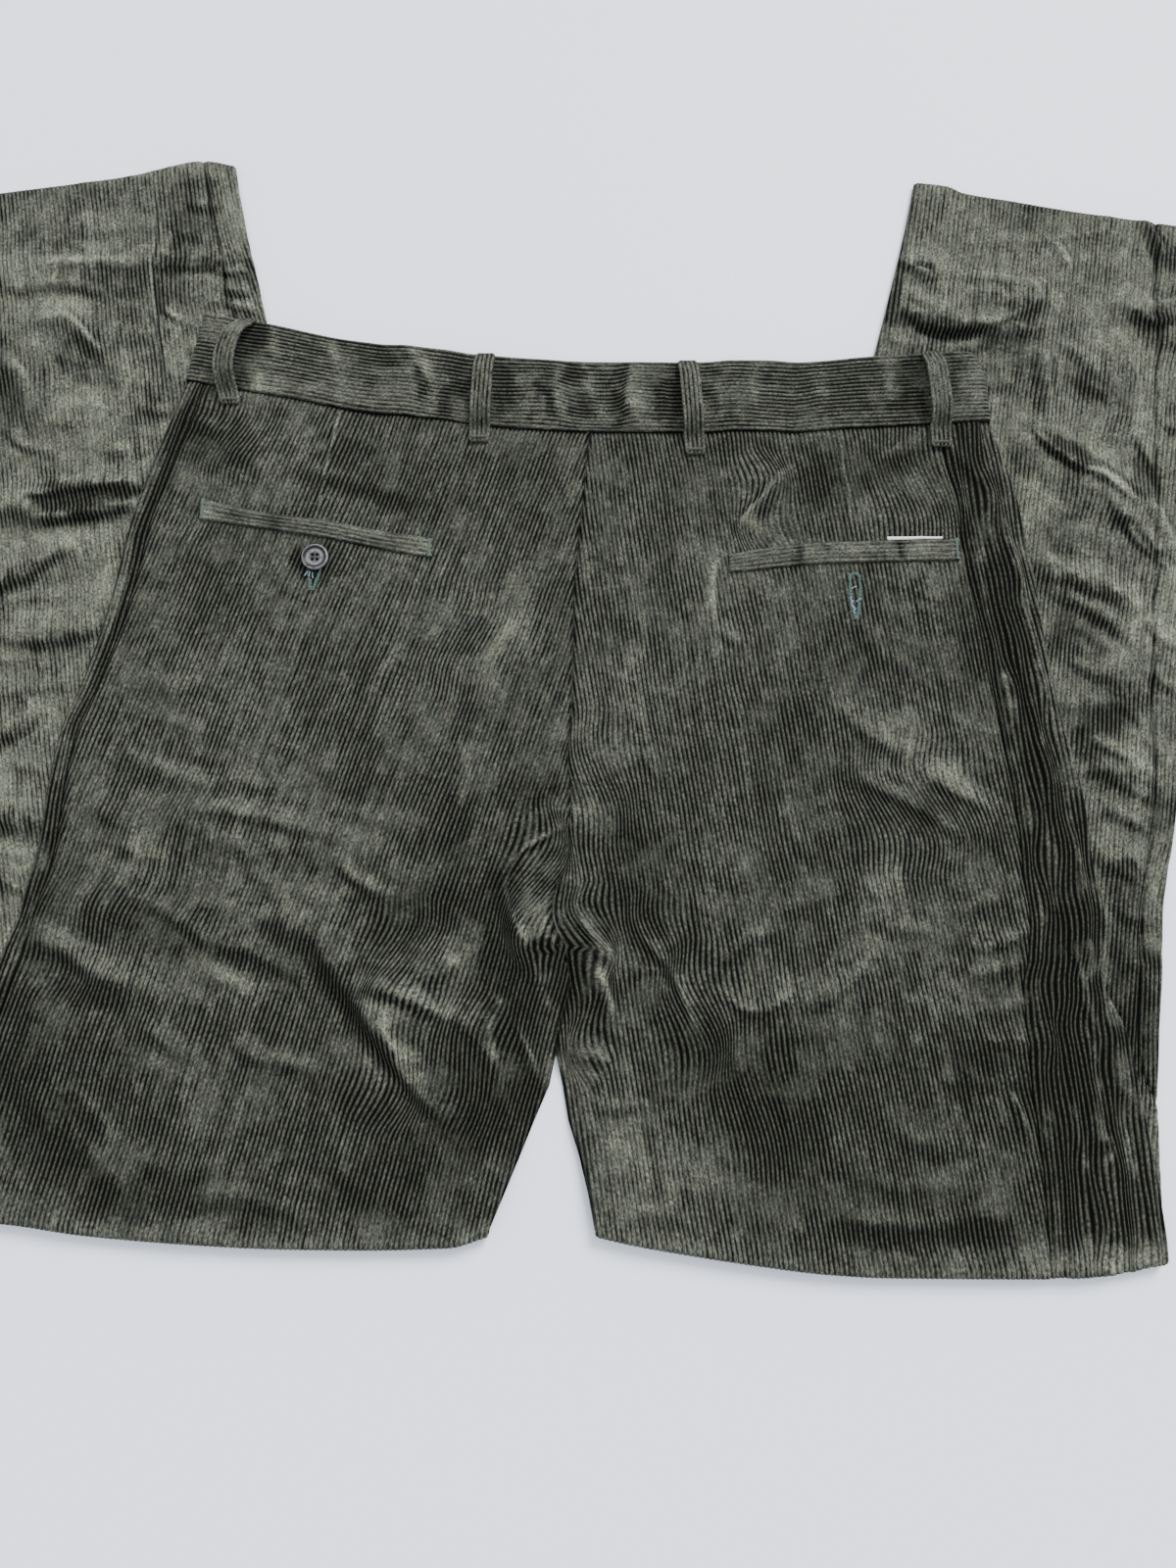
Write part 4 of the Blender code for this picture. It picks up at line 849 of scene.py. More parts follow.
THREAD = 0.24  # its radius
THREAD_SIDES = 5
THREAD_ARCH = 0.4
Stitch = namedtuple("Stitch", "spacing reach seed")
STITCH_POINTS = 5
STITCH_SLANT, STITCH_SHIFT, STITCH_UNEVEN = 0.25, 0.2, 0.3  # at most, as shares of a stitch's reach
LEG_STITCHES = [Stitch(0.8, 0.85, 60), Stitch(0.8, 0.85, 61)]
EYELET_STITCH = Stitch(0.75, 0.8, 65)
LOOP_STITCH = Stitch(0.55, 0.8, 3)
Tack = namedtuple("Tack", "welt x stitch")
WELT_TACKS = [
    Tack(0, -217.4, Stitch(0.6, 0.75, 71)),
    Tack(0, -89.6, Stitch(0.6, 0.75, 72)),
    Tack(1, 206.4, Stitch(0.6, 0.75, 73)),
]
TACK_INSET = 0.5  # from the edges of the welt
HOLE_LEGS_RIGHT = [
    [(145.9, 246.5), (145.9, 243), (145.9, 237.2), (146.2, 232.6), (147.2, 228), (148.4, 224)],
    [(151.5, 246.5), (151.6, 243), (150.9, 237.2), (150.3, 232.6), (149.6, 228), (148.8, 224)],
]
HOLE_LEGS_LEFT = [
    [(-149.3, 254.5), (-150.2, 251), (-151.4, 247.4), (-153.2, 241.5)],
    [(-156.3, 253.5), (-155.8, 250), (-155.2, 246.6), (-154.4, 241.5)],
]
EYELET = 2.9  # its radius
EYELET_AT = (148.7, 248.6)
EYELET_TURN = (-0.2 * math.pi, 1.2 * math.pi)
EYELET_POINTS = 24
Fray = namedtuple("Fray", "x y length turn")
FRAYS = [
    Fray(-156.4, 253.0, 3.6, -118),
    Fray(-155.0, 252.6, 3.2, -100),
    Fray(-153.6, 252.4, 4.0, -84),
    Fray(146.2, 238.0, 4.2, -80),
    Fray(147.4, 235.6, 4.6, -96),
    Fray(146.6, 232.6, 3.4, -62),
    Fray(148.2, 231.0, 3.6, -100),
    Fray(146.6, 242.0, 3.2, 30),
    Fray(148.6, 234.6, 4.0, 28),
]
FRAY_SEED = 80
FRAY_POINTS = 6
FRAY_BOW = 0.25  # at most, as a share of its length
FRAY_LIFT, FRAY_RISE = 0.35, 0.5  # its height over the cloth, and how much higher its end is

BUTTON_AT = (-152.5, 260.5)
BUTTON_GAP = 0.6
HOLE_RADIUS = 0.9
HOLE_RING = 1.9
HOLE_SIDES = 24
HOLE_CUT = 20.0  # length of the cylinders that cut the holes
BUTTON_SIDES = 72
BUTTON_SHARP = 35.0  # an edge that turns by more degrees than this stays sharp
BUTTON_PROFILE = [
    Edge(0.0, 0.0),
    Edge(6.2, 0.0),
    Edge(6.9, 0.25),
    Edge(7.35, 0.8),
    Edge(7.5, 1.5),
    Edge(7.4, 2.1),
    Edge(7.05, 2.6),
    Edge(6.6, 2.8),
    Edge(6.1, 2.75),
    Edge(5.6, 2.4),
    Edge(5.2, 2.0),
    Edge(4.7, 1.85),
    Edge(3.6, 1.8),
    Edge(0.0, 1.75),
]

# ---------------------------------------------------------------- the grid of each shell, mm
WALE = 2.5  # pitch of the ribs
WALE_DEPTH = 0.5
WALE_STOPS = (0.0, 0.3, 0.7)  # where a rib's columns lie, from groove to groove
RIB_FULLNESS = 0.45  # the smaller, the rounder a rib and the narrower its grooves
ROW = 2.6  # between rows where the cloth shows
HIDDEN_ROW = 18.0
HIDDEN_COLUMN = 10.0
FOLD_ROW, HIDDEN_FOLD_ROW = 0.7, 1.2  # round the fold under the thigh
CENTRE_ROW = 6.0
ROUND_POINTS = 7  # round a folded edge
LEAN_STATIONS = 211  # down a leg, to sum up how far its wales have leaned
CUT_STEP = 10.0  # between the rows that a cut is measured on
FLAT_SPAN = 0.2  # a smaller cell of a grid, in mm2, has no slope of its own

# The strip of the front panel beside the outer seam.
STRIP = 3.0  # how far a finely meshed strip runs past the round of an edge
STRIP_FADE = 8.0  # its wales are back in line over this distance from its edges
STRIP_WANDER = [Drift(2.5, 55, 9, 22)]
STRIP_BUMPS = [Drift(1.1, 52, 6, 70)]
STRIP_TONES = [Drift(0.7, 51, 3.4, 60), Drift(0.4, 56, 16, 26), Drift(0.4, 57, 3, 7)]
STRIP_RIM = 12.0  # its pile lies lighter towards the outline over this distance
STRIP_TO_FOLD = 30.0  # and towards the fold it turns as light as the cloth beside it over this one
STRIP_LIGHTEST, STRIP_DULLS = -0.2, 0.8  # above this level, so much of its lightness is lost

# ---------------------------------------------------------------- how light the pile lies, and painted light and shade
# From about -1 where it is darkest to 1 where it is lightest. Slopes, hollows, ridges, seams and the
# edges of welts add painted light and shade to it.
# The lower legs are set lighter than the seat: a painted sheen of their pile, which lies the other way
# round.
SEAT_NAP, LOWER_NAP_AND_SHEEN, BAND_NAP, LOOP_NAP, WELT_NAP = -0.28, 0.19, -0.2, -0.1, -0.08
NAP_AND_PAINTED_LIGHT_LIMIT = 1.1
LIGHT_PATCHES = 0.7  # how much a light patch counts beside a dark one
PATCH_END = 1.25  # a patch ends at this many times its reach
SLOPE_PAINTED_LIGHT_X, SLOPE_PAINTED_LIGHT_Y = -0.5, -0.9  # painted light: what a slope that rises towards +x or +y adds, lighter where it faces the sun at the upper right
PAINTED_SHADE_SLOPES, PAINTED_LIGHT_SLOPES = 1.9, 0.8  # and how much that counts where it paints shade or light
BEND_PAINTED_SHADE, BEND_LIMIT = 1.8, 0.3  # painted shade in a hollow and painted light on a ridge, up to a limit
FOLD_TONE = 0.36  # how much lighter the fold under the thigh is
BAND_FOLD_PAINTED_LIGHT = 0.25  # painted light on a fold of the waistband, for each mm of its height
# How much painted shade darkens the dip of a seam.
SEAM_PAINTED_SHADE = 0.5
WELT_EDGE_PAINTED_SHADE = 0.6  # painted shade at the rolled edges of a welt

# ---------------------------------------------------------------- values of the stage
FLOOR_SIZE = 6  # m
FLOOR_COLOUR = (0.87, 0.91, 1.0)
SKY_COLOUR = (0.93, 0.96, 1.0)
WORLD_POWER = 1.3
KEY_FROM = (0.45, 0.8, 0.75)  # the light comes from the upper right of the photo
KEY_POWER = 4.9
KEY_SPREAD = 28.0  # degrees
CAMERA_HEIGHT = 627.0  # mm
CAMERA_TILT = 12.0  # degrees
CAMERA_LENS, CAMERA_SENSOR = 27.0, 36.0  # mm
CAMERA_CLIP = (0.05, 20)  # m


# ---------------------------------------------------------------- small tools
def through(points, t):
    """A smooth curve through (t, value) points that doesn't overshoot and is flat past its ends."""
    p = np.array(sorted(points), float)
    x, y = p[:, 0], p[:, 1]
    step = np.diff(x)
    slope = np.diff(y) / step
    turn = slope[:-1] * slope[1:]
    mean = 2 * turn / np.where(turn > 0, slope[:-1] + slope[1:], 1)
    bend = np.concatenate([[slope[0]], np.where(turn > 0, mean, 0), [slope[-1]]])
    t = np.clip(t, x[0], x[-1])
    i = np.clip(np.searchsorted(x, t) - 1, 0, len(step) - 1)
    s = (t - x[i]) / step[i]
    rise = y[i] + (y[i + 1] - y[i]) * s * s * (3 - 2 * s)
    return rise + step[i] * s * (1 - s) * (bend[i] * (1 - s) - bend[i + 1] * s)


def ramp(t):
    """0 to 1, smooth at both ends."""
    t = np.clip(t, 0, 1)
    return t * t * (3 - 2 * t)


def curve(rows, key, value, at):
    """A column of a table, read as a smooth curve over another column."""
    return through([(getattr(row, key), getattr(row, value)) for row in rows], at)


def steps(low, high, most):
    return np.linspace(low, high, int(math.ceil((high - low) / most)) + 1)


def drift(x, y, seed, size_x, size_y):
    """Smooth noise from -1 to 1 over a plan, with features of the given sizes."""
    lattice = np.random.RandomState(seed).uniform(-1, 1, (LATTICE, LATTICE))
    u, v = np.broadcast_arrays(x / size_x, y / size_y)
    i, j = np.floor(u).astype(int), np.floor(v).astype(int)
    s, t = ramp(u - i), ramp(v - j)
    i0, i1, j0, j1 = i % LATTICE, (i + 1) % LATTICE, j % LATTICE, (j + 1) % LATTICE
    low = lattice[i0, j0] * (1 - s) + lattice[i1, j0] * s
    high = lattice[i0, j1] * (1 - s) + lattice[i1, j1] * s
    return low * (1 - t) + high * t


def add_drifts(value, rows, x, y):
    """A value with the smooth noises of a table added to it."""
    for row in rows:
        value = value + row.gain * drift(x, y, row.seed, row.size_x, row.size_y)
    return value


def add_crumples(value, rows, x, y):
    """A value with thin, broken ridges added to it, which run mostly at an angle to +x."""
    for row in rows:
        angle = math.radians(row.turn)
        along = x * math.cos(angle) + y * math.sin(angle)
        across = y * math.cos(angle) - x * math.sin(angle)
        cover = ramp(0.5 + COVER_GAIN * drift(x, y, row.seed + 1, COVER_X, COVER_Y))
        ridge = (1 - np.abs(drift(along, across, row.seed, row.length, row.width))) ** CRUMPLE_SHARP
        value = value + row.gain * (cover * ridge)
    return value


def rib(a):
    """The profile of the wales, 0 in a groove and 1 on a crest, at a distance across them."""
    return (0.5 - 0.5 * np.cos(2 * math.pi * a / WALE)) ** RIB_FULLNESS


def patch_weight(row, x, y):
    """1 in the middle of a sway's or a tone's patch and 0 past its rim."""
    dx, dy = x - row.x, y - row.y
    angle = math.radians(getattr(row, "turn", 0.0))
    across = dx * math.cos(angle) + dy * math.sin(angle)
    along = dy * math.cos(angle) - dx * math.sin(angle)
    return ramp(PATCH_END - np.hypot(across / row.reach_x, along / row.reach_y))


def sway(table, x, y):
    """How far the wales are shifted towards +x at a plan point."""
    total = add_drifts(0, WALE_WANDER, x, y)
    for row in table:
        total = total + patch_weight(row, x, y) * math.tan(math.radians(row.lean)) * (row.y - y)
    return total


def tones(table, x, y):
    """How much darker or lighter a tone table paints the cloth at a plan point, pile and painted light
    and shade together.
    """
    ragged_x, ragged_y = add_drifts(x, RAGGED_X, x, y), add_drifts(y, RAGGED_Y, x, y)
    total = np.zeros(np.broadcast(x, y).shape)
    for row in table:
        total = total + row.tone * patch_weight(row, ragged_x, ragged_y)
    total = np.where(total > 0, LIGHT_PATCHES * total, total)
    return total * add_drifts(1, BROKEN, x, y)


def plan_slope(points, height):
    """How fast a height rises towards +x and towards +y, from its change over a grid of points."""
    xi, xj = np.gradient(points[..., 0])
    yi, yj = np.gradient(points[..., 1])
    hi, hj = np.gradient(height)
    span = xi * yj - xj * yi
    flat = np.abs(span) < FLAT_SPAN
    span = np.where(flat, 1, span)
    rise_x = np.where(flat, 0, (hi * yj - hj * yi) / span)
    rise_y = np.where(flat, 0, (xi * hj - xj * hi) / span)
    return np.clip(rise_x, -1, 1), np.clip(rise_y, -1, 1)


# ---------------------------------------------------------------- what lies under the cloth
def inside_lower_leg(x, y):
    """How far a plan point is inside the nearer lower leg. It is below zero outside it."""
    left_in, left_out, right_in, right_out = (
        curve(LOWER, "y", edge, y) for edge in ("left_in", "left_out", "right_in", "right_out")
    )
    return np.maximum(np.minimum(left_in - x, x - left_out), np.minimum(x - right_in, right_out - x))


def support(x, y):
    """How far the cloth is lifted off the floor by the lower legs under it."""
    return LIFT * ramp((inside_lower_leg(x, y) + DRAPE) / DRAPE)


def under_band(x, y):
    """The same under the waistband, which the two belt loops of the front lift too."""
    near = (np.abs(np.abs(x) - FRONT_LOOP_X) - FRONT_LOOP_FLAT) / FRONT_LOOP_SHOULDER
    return np.maximum(support(x, y), FRONT_LOOP_RISE * ramp(1 - near))


def outside_cover(x, y):
    """How far a plan point of a lower leg is outside what lies on it."""
    beside = np.maximum(curve(THIGH, "y", "left_out", y) - x, x - curve(THIGH, "y", "right_out", y))
    above = y - through(WAIST_SEAM, x) - BAND_HEIGHT
    return np.maximum(beside, above)


# ---------------------------------------------------------------- creases and folds
def nearest_on(line_x, line_y, x, y):
    """How far points are from a line, on which side of it, and how far along it, from 0 to 1."""
    best, side, along = np.full(x.shape, np.inf), np.zeros(x.shape), np.zeros(x.shape)
    for k, (ax, ay, dx, dy) in enumerate(zip(line_x, line_y, np.diff(line_x), np.diff(line_y))):
        run = np.clip(((x - ax) * dx + (y - ay) * dy) / (dx * dx + dy * dy), 0, 1)
        ex, ey = x - ax - run * dx, y - ay - run * dy
        away = np.hypot(ex, ey)
        closer = away < best
        best = np.where(closer, away, best)
        side = np.where(closer, np.sign(dx * ey - dy * ex), side)
        along = np.where(closer, (k + run) / (len(line_x) - 1), along)
    return best, side, along


def creases(table, x, y):
    """The height that the broad creases of a table add at a plan point."""
    x, y = np.broadcast_arrays(x, y)
    total = np.zeros(x.shape)
    for c in table:
        away, _, _ = nearest_on((c.x0, c.x1, c.x2), (c.y0, c.y1, c.y2), x, y)
        total = total + c.height * ramp(1 - away / c.width)
    return total


def fine_folds(table, x, y):
    """The height that the finer folds add at plan points, and how far they lean over sideways."""
    x, y = np.broadcast_arrays(x, y)
    warp_x, warp_y = add_drifts(x, FOLD_WARP_X, x, y), add_drifts(y, FOLD_WARP_Y, x, y)
    height, lean_x, lean_y = np.zeros(x.shape), np.zeros(x.shape), np.zeros(x.shape)
    t = np.linspace(0, 1, FOLD_POINTS)
    before, middle, after = (1 - t) * (1 - 2 * t), 4 * t * (1 - t), t * (2 * t - 1)
    for f in table:
        line_x = f.x0 * before + f.x1 * middle + f.x2 * after
        line_y = f.y0 * before + f.y1 * middle + f.y2 * after
        near = (warp_x > line_x.min() - f.width) & (warp_x < line_x.max() + f.width)
        near &= (warp_y > line_y.min() - f.width) & (warp_y < line_y.max() + f.width)
        if not near.any():
            continue
        away, side, along = nearest_on(line_x, line_y, warp_x[near], warp_y[near])
        narrow = 1 - STEEP_NARROWS * np.clip(f.steep * side, 0, 1)
        taper = np.sin(math.pi * np.clip(along, FOLD_TIP, 1 - FOLD_TIP)) ** FOLD_TAPER
        crest = ramp(1 - away / (f.width * narrow)) * taper
        height[near] += f.height * crest
        length = math.hypot(f.x2 - f.x0, f.y2 - f.y0)
        over = FOLD_LEAN * f.steep * abs(f.height) * crest / length
        lean_x[near] += over * (f.y0 - f.y2)
        lean_y[near] += over * (f.x2 - f.x0)
    return height, lean_x, lean_y


def seat_relief(x, y):
    """The finer folds of the seat with the crumpling between them, and how far they lean over."""
    height, over_x, over_y = fine_folds(SEAT_FOLDS, x, y)
    return add_crumples(height, SEAT_CRUMPLES, x, y), over_x, over_y


def seat_height(x, y, under, fade, rim):
    """How high the creases raise a wall of the thigh, and how far the finer ones lean over."""
    soft = creases(SEAT_CREASES, x, y) * fade
    fine, over_x, over_y = seat_relief(x, y)
    seat = np.where(under, UNDER * np.maximum(soft, 0), np.maximum(soft + fine * rim, DEEPEST))
    return seat, over_x * rim, over_y * rim


def lower_height(x, y, rim):
    """The same for the wall of a lower leg that shows."""
    cover = outside_cover(x, y)
    fine, over_x, over_y = fine_folds(LOWER_FOLDS, x, y)
    fine = add_crumples(fine, LOWER_CRUMPLES, x, y)
    low = creases(LOWER_CREASES, x, y) * ramp(cover / FADE) + fine * ramp(cover / COVER_TUCK + 1)
    return np.maximum(low, DEEPEST) * rim, over_x * rim, over_y * rim


# ---------------------------------------------------------------- a leg
def inner_outer(leg, edges):
    """The ends of a line across a leg: at its inner edge and at its outer one."""
    return (edges[-1], edges[0]) if leg.side < 0 else (edges[0], edges[-1])


def fold_y(leg, x):
    return through(leg.fold, x) + FOLD + OUTER


def from_fold(v):
    """How far v is from the middle of the fold under the thigh."""
    return np.abs(v - THIGH_LENGTH - FOLD_LENGTH / 2)


def shares(v):
    """How far v is down the thigh and then up the lower leg, each from 0 to 1."""
    return np.clip(v / THIGH_LENGTH, 0, 1), np.clip((v - LOWER_START) / LOWER_LENGTH, 0, 1)


def ends_of_row(leg, v):
    """Where the row at v starts and ends in plan, and how far the inner edge has curled over."""
    in_fold, out_fold = inner_outer(leg, leg.fold)
    in_hem, out_hem = inner_outer(leg, leg.hem)
    _, out_waist = inner_outer(leg, WAIST_SEAM)
    down, back = shares(v)
    lift = FOLD + OUTER
    waist_in = through(WAIST_SEAM, 0.0)
    y_in = waist_in + (in_fold.y + lift - waist_in) * down + (in_hem.y - in_fold.y - lift) * back
    y_out = (out_waist.y + (out_fold.y + lift - out_waist.y) * down
             + (out_hem.y - out_fold.y - lift) * back)
    thigh = v < LOWER_START
    x_in, x_out = (np.where(thigh, curve(THIGH, "y", edge, y), curve(LOWER, "y", edge, y))
                   for edge, y in ((leg.inner, y_in), (leg.outer, y_out)))
    curl = np.where(thigh, ramp((CROTCH_Y + CURL_SPAN / 2 - y_in) / CURL_SPAN), 1.0)
    return x_in, x_out, curl


def width_of_row(leg, v):
    """The straight run of the tube between its two edges, and where it starts."""
    x_in, x_out, curl = ends_of_row(leg, v)
    start = x_in + leg.side * (SEAM / 2 + (OUTER - SEAM / 2) * np.sin(curl * math.pi / 2))
    return start, np.abs(x_out - start) - OUTER, curl


def seam_at(leg, v):
    """Where the inner and the outer seam lie round the tube, as distances w, and its width."""
    _, width, curl = width_of_row(leg, v)
    half = ARC / 2
    inner = -half * curl + curve(leg.seams, "v", "inner", v)
    outer = width + half + curve(leg.seams, "v", "outer", v)
    return inner, outer, width


def round_tube(width, w, offset):
    """Where the point at w is on a tube of this width: how far out from the tube's inner edge, how
    high above its middle, how far it has turned round an edge, and whether it is underneath."""
    past, before = np.clip(w - width, 0, ARC), np.clip(-w, 0, ARC)
    turn = (past + before) / LAYER
    under = (w > width + ARC) | (w < -ARC)
    u = np.where(w < -ARC, -w - ARC, np.where(w > width, 2 * width + ARC - w, w))
    u = np.where((past > 0) & (past < ARC), width, np.where((before > 0) & (before < ARC), 0, u))
    u = u + offset * np.sin(turn) * np.where(past > 0, 1, -1) * (turn < math.pi)
    return u, np.where(under, -offset, offset * np.cos(turn)), turn, under


def plan_y(leg, v, q):
    """Where the row at v lies in plan at a share q of the way out, and where the fold lies there."""
    waist_start, waist_width, _ = width_of_row(leg, 0.0)
    at_waist = through(WAIST_SEAM, waist_start + leg.side * waist_width * q)
    inner, outer = inner_outer(leg, leg.fold)
    at_fold = fold_y(leg, inner.x + (outer.x - inner.x) * q)
    inner, outer = inner_outer(leg, leg.hem)
    at_hem = through(leg.hem, inner.x + (outer.x - inner.x) * q)
    down, back = shares(v)
    return at_waist + (at_fold - at_waist) * down + (at_hem - at_fold) * back, at_fold


def settled(x, y, v, beyond):
    """How far the thigh is lifted by the lower leg, by its own fold and by the waistband."""
    lift = support(x, y)
    lift = lift + (LIFT - lift) * ramp(1 - beyond / FOLD_REACH)
    return lift + (under_band(x, y) - lift) * ramp(1 - v / BAND_PULL)


def inward(where, edge, beyond, span):
    """1 where something holds, less towards the edge of the tube and the fold over a span."""
    return where * ramp(edge / span) * ramp(beyond / span)


def leg_point(leg, v, w, offset):
    """The point at v and w of the leg, offset from the middle surface of the tube, in mm,
    and the height of the folds there."""
    start, width, curl = width_of_row(leg, v)
    u, level, turn, under = round_tube(width, w, offset)
    x = start + leg.side * u
    flat_y, at_fold = plan_y(leg, v, np.clip(u / width, 0, 1))
    on_thigh, on_lower = v <= THIGH_LENGTH, v >= LOWER_START
    shown = np.where(on_thigh, ~under, under & on_lower)
    edge = np.minimum(width - u, np.where(curl > 0, u, SWAY_FADE))
    beyond = flat_y - at_fold
    sideways = np.where(on_thigh, sway(SEAT_SWAYS, x, flat_y), sway(LOWER_SWAYS, x, flat_y))
    x = x + inward(shown, edge, beyond, SWAY_FADE) * sideways

    fade, rim = inward(turn == 0, edge, beyond, FADE), inward(shown, edge, beyond, RIM_FADE)
    seat, over_x, over_y = seat_height(x, flat_y, under, fade, rim)
    low_rim = shown * ramp(np.minimum(u, width - u) / FREE_FADE)
    low, low_x, low_y = lower_height(x, flat_y, low_rim)
    bend = np.clip((v - THIGH_LENGTH) / FOLD, 0, math.pi)
    up = OUTER + settled(x, flat_y, v, beyond) + level + seat
    round_fold = FOLD_MID + (FOLD + level) * np.cos(bend)
    z = np.where(on_thigh, up, np.where(on_lower, OUTER - level + low, round_fold))

    x = x + np.where(on_thigh, over_x, low_x * on_lower)
    y = flat_y + np.where(on_thigh, over_y, low_y * on_lower) - (FOLD + level) * np.sin(bend)
    folds = np.where(on_thigh, seat, np.where(on_lower, low, 0))
    return np.stack(np.broadcast_arrays(x, y, z), axis=-1), folds


def top_of_seat(x, y):
    """The height of the back of the trousers at a plan point away from its edges."""
    fine, _, _ = seat_relief(x, y)
    return 2 * OUTER + support(x, y) + np.maximum(creases(SEAT_CREASES, x, y) + fine, DEEPEST)


def top_of_band(x, y):
    return 2 * BAND_LAYER + BAND_WALL + under_band(x, y)


# ---------------------------------------------------------------- meshes
Patch = namedtuple("Patch", "points wale nap quads triangles")


def patch(points, wale, nap, flip, clamped_low=None, clamped_high=None):
    """A grid of points, rows by columns. Clamped columns of a row share the point of its end."""
    rows, cols = points.shape[:2]
    here = np.arange(cols)[None, :]
    first = np.zeros((rows, 1), int) if clamped_low is None else clamped_low[:, None] - 1
    last = np.full((rows, 1), cols - 1) if clamped_high is None else cols - clamped_high[:, None]
    kept = np.clip(here, np.maximum(first, 0), np.minimum(last, cols - 1))
    index = np.arange(rows)[:, None] * cols + kept
    a, b = index[:-1, :-1].ravel(), index[:-1, 1:].ravel()
    c, d = index[1:, 1:].ravel(), index[1:, :-1].ravel()
    corners = np.stack([a, d, c, b] if flip else [a, b, c, d], axis=1)
    top, bottom = a == b, c == d
    quads = corners[~top & ~bottom]
    halves = [np.stack([a, d, c] if flip else [a, c, d], 1)[top & ~bottom],
              np.stack([a, d, b] if flip else [a, b, d], 1)[bottom & ~top]]
    flat = [grid.reshape(rows * cols, -1) for grid in (points, wale, nap)]
    return Patch(*flat, quads, np.concatenate(halves))


def linked(name, data):
    """A new object in the scene."""
    obj = bpy.data.objects.new(name, data)
    bpy.context.scene.collection.objects.link(obj)
    return obj


def shell(name, patches, paint):
    """One object made of patches, with its wales in a UV map and its nap and painted light and shade in
    an attribute.
    """
    points, wale, nap = (np.concatenate([getattr(p, part) for p in patches])
                         for part in ("points", "wale", "nap"))
    starts = np.cumsum([0] + [len(p.points) for p in patches])
    quads, triangles = (np.concatenate([getattr(p, part) + s for p, s in zip(patches, starts)])
                        for part in ("quads", "triangles"))
    used, order = np.unique(np.concatenate([quads.ravel(), triangles.ravel()]), return_inverse=True)
    points, wale, nap = points[used], wale[used], nap.ravel()[used]
    order = order.ravel()

    mesh = bpy.data.meshes.new(name)
    mesh.vertices.add(len(points))
    mesh.vertices.foreach_set("co", ((points - ORIGIN) * MM).ravel())
    mesh.loops.add(len(order))
    mesh.loops.foreach_set("vertex_index", order)
    four, three = len(quads), len(triangles)
    begins = np.concatenate([np.arange(four) * 4, four * 4 + np.arange(three) * 3])
    mesh.polygons.add(len(begins))
    mesh.polygons.foreach_set("loop_start", begins)
    mesh.update(calc_edges=True)
    mesh.uv_layers.new(name="wale").data.foreach_set("uv", wale[order].ravel())
    mesh.attributes.new("nap", "FLOAT", "POINT").data.foreach_set("value", nap)
    mesh.shade_smooth()
    mesh.materials.append(paint)
    return linked(name, mesh)


def ring_faces(first, rings, sides):
    """The quads between rings of points that follow each other, from the first point on."""
    faces = []
    for start in range(first, first + (rings - 1) * sides, sides):
        for k in range(sides):
            ahead = (k + 1) % sides
            faces.append((start + k, start + ahead, start + sides + ahead, start + sides + k))
    return faces


def finish_piece(obj, slot, *nodes):
    """Rides on the one body and stands for its nodes; its slot is not used."""
    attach(obj, "root")
    if nodes:
        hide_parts(*nodes)
    return obj


# ---------------------------------------------------------------- panels
def lean_at(leg, v):
    """How far the wales have gone sideways at v."""
    at = np.linspace(0, LEG_LENGTH, LEAN_STATIONS)
    slope = np.tan(np.radians(through(leg.lean, at)))
    run = np.concatenate([[0], np.cumsum((slope[1:] + slope[:-1]) / 2 * np.diff(at))])
    return leg.side * np.interp(v, at, run)


def wale_columns(low, high, fine):
    """Distances across the wales from low to high, three to a wale, or a few where hidden."""
    if not fine:
        return np.linspace(low, high, int((high - low) / HIDDEN_COLUMN) + 2)
    first, last = math.floor(low / WALE), math.ceil(high / WALE)
    return ((np.arange(first, last + 1)[:, None] + np.array(WALE_STOPS)[None]) * WALE).ravel()


def near_fold(v):
    return ramp(1 - from_fold(v) / NEAR_FOLD)


def nap_and_painted_light_of(v, points, folds):
    """How light the pile lies, from about -1 to 1, with painted light and shade from slopes and hollows.
    """
    x, y = points[..., 0], points[..., 1]
    rise_x, rise_y = plan_slope(points, folds)
    bend_x, _ = plan_slope(points, rise_x)
    _, bend_y = plan_slope(points, rise_y)
    seat, lower = SEAT_NAP + tones(SEAT_TONES, x, y), LOWER_NAP_AND_SHEEN + tones(LOWER_TONES, x, y)
    base = np.where(v < LOWER_START, seat, lower)
    # painted light and shade: slopes facing the sun at the upper right are lighter, those facing away
    # darker
    lit = SLOPE_PAINTED_LIGHT_X * rise_x + SLOPE_PAINTED_LIGHT_Y * rise_y
    lit = np.where(lit < 0, PAINTED_SHADE_SLOPES, PAINTED_LIGHT_SLOPES) * lit
    # painted shade in hollows and painted light on ridges
    hollow_shade = BEND_PAINTED_SHADE * np.clip(bend_x + bend_y, -BEND_LIMIT, BEND_LIMIT)
    return limited(base + lit - hollow_shade + FOLD_TONE * near_fold(v))


def limited(nap):
    """A value of nap and painted light held softly within its limit."""
    return NAP_AND_PAINTED_LIGHT_LIMIT * np.tanh(nap / NAP_AND_PAINTED_LIGHT_LIMIT)


def strip_nap_and_painted_light(leg, a, v, from_outline, nap):
    """How light the pile lies on the strip of the front panel beside the outer seam, added to the
    painted light and shade it already has.
    """
    rim = ramp(1 - from_outline / STRIP_RIM)
    own = leg.strip.at_seam + (leg.strip.at_edge - leg.strip.at_seam) * rim
    own = add_drifts(own, STRIP_TONES, a, v)
    away = ramp(from_fold(v) / STRIP_TO_FOLD)
    light = nap + own * away
    light = light - STRIP_DULLS * np.maximum(light - STRIP_LIGHTEST, 0) * away
    return np.where(v < LOWER_START, light, nap)


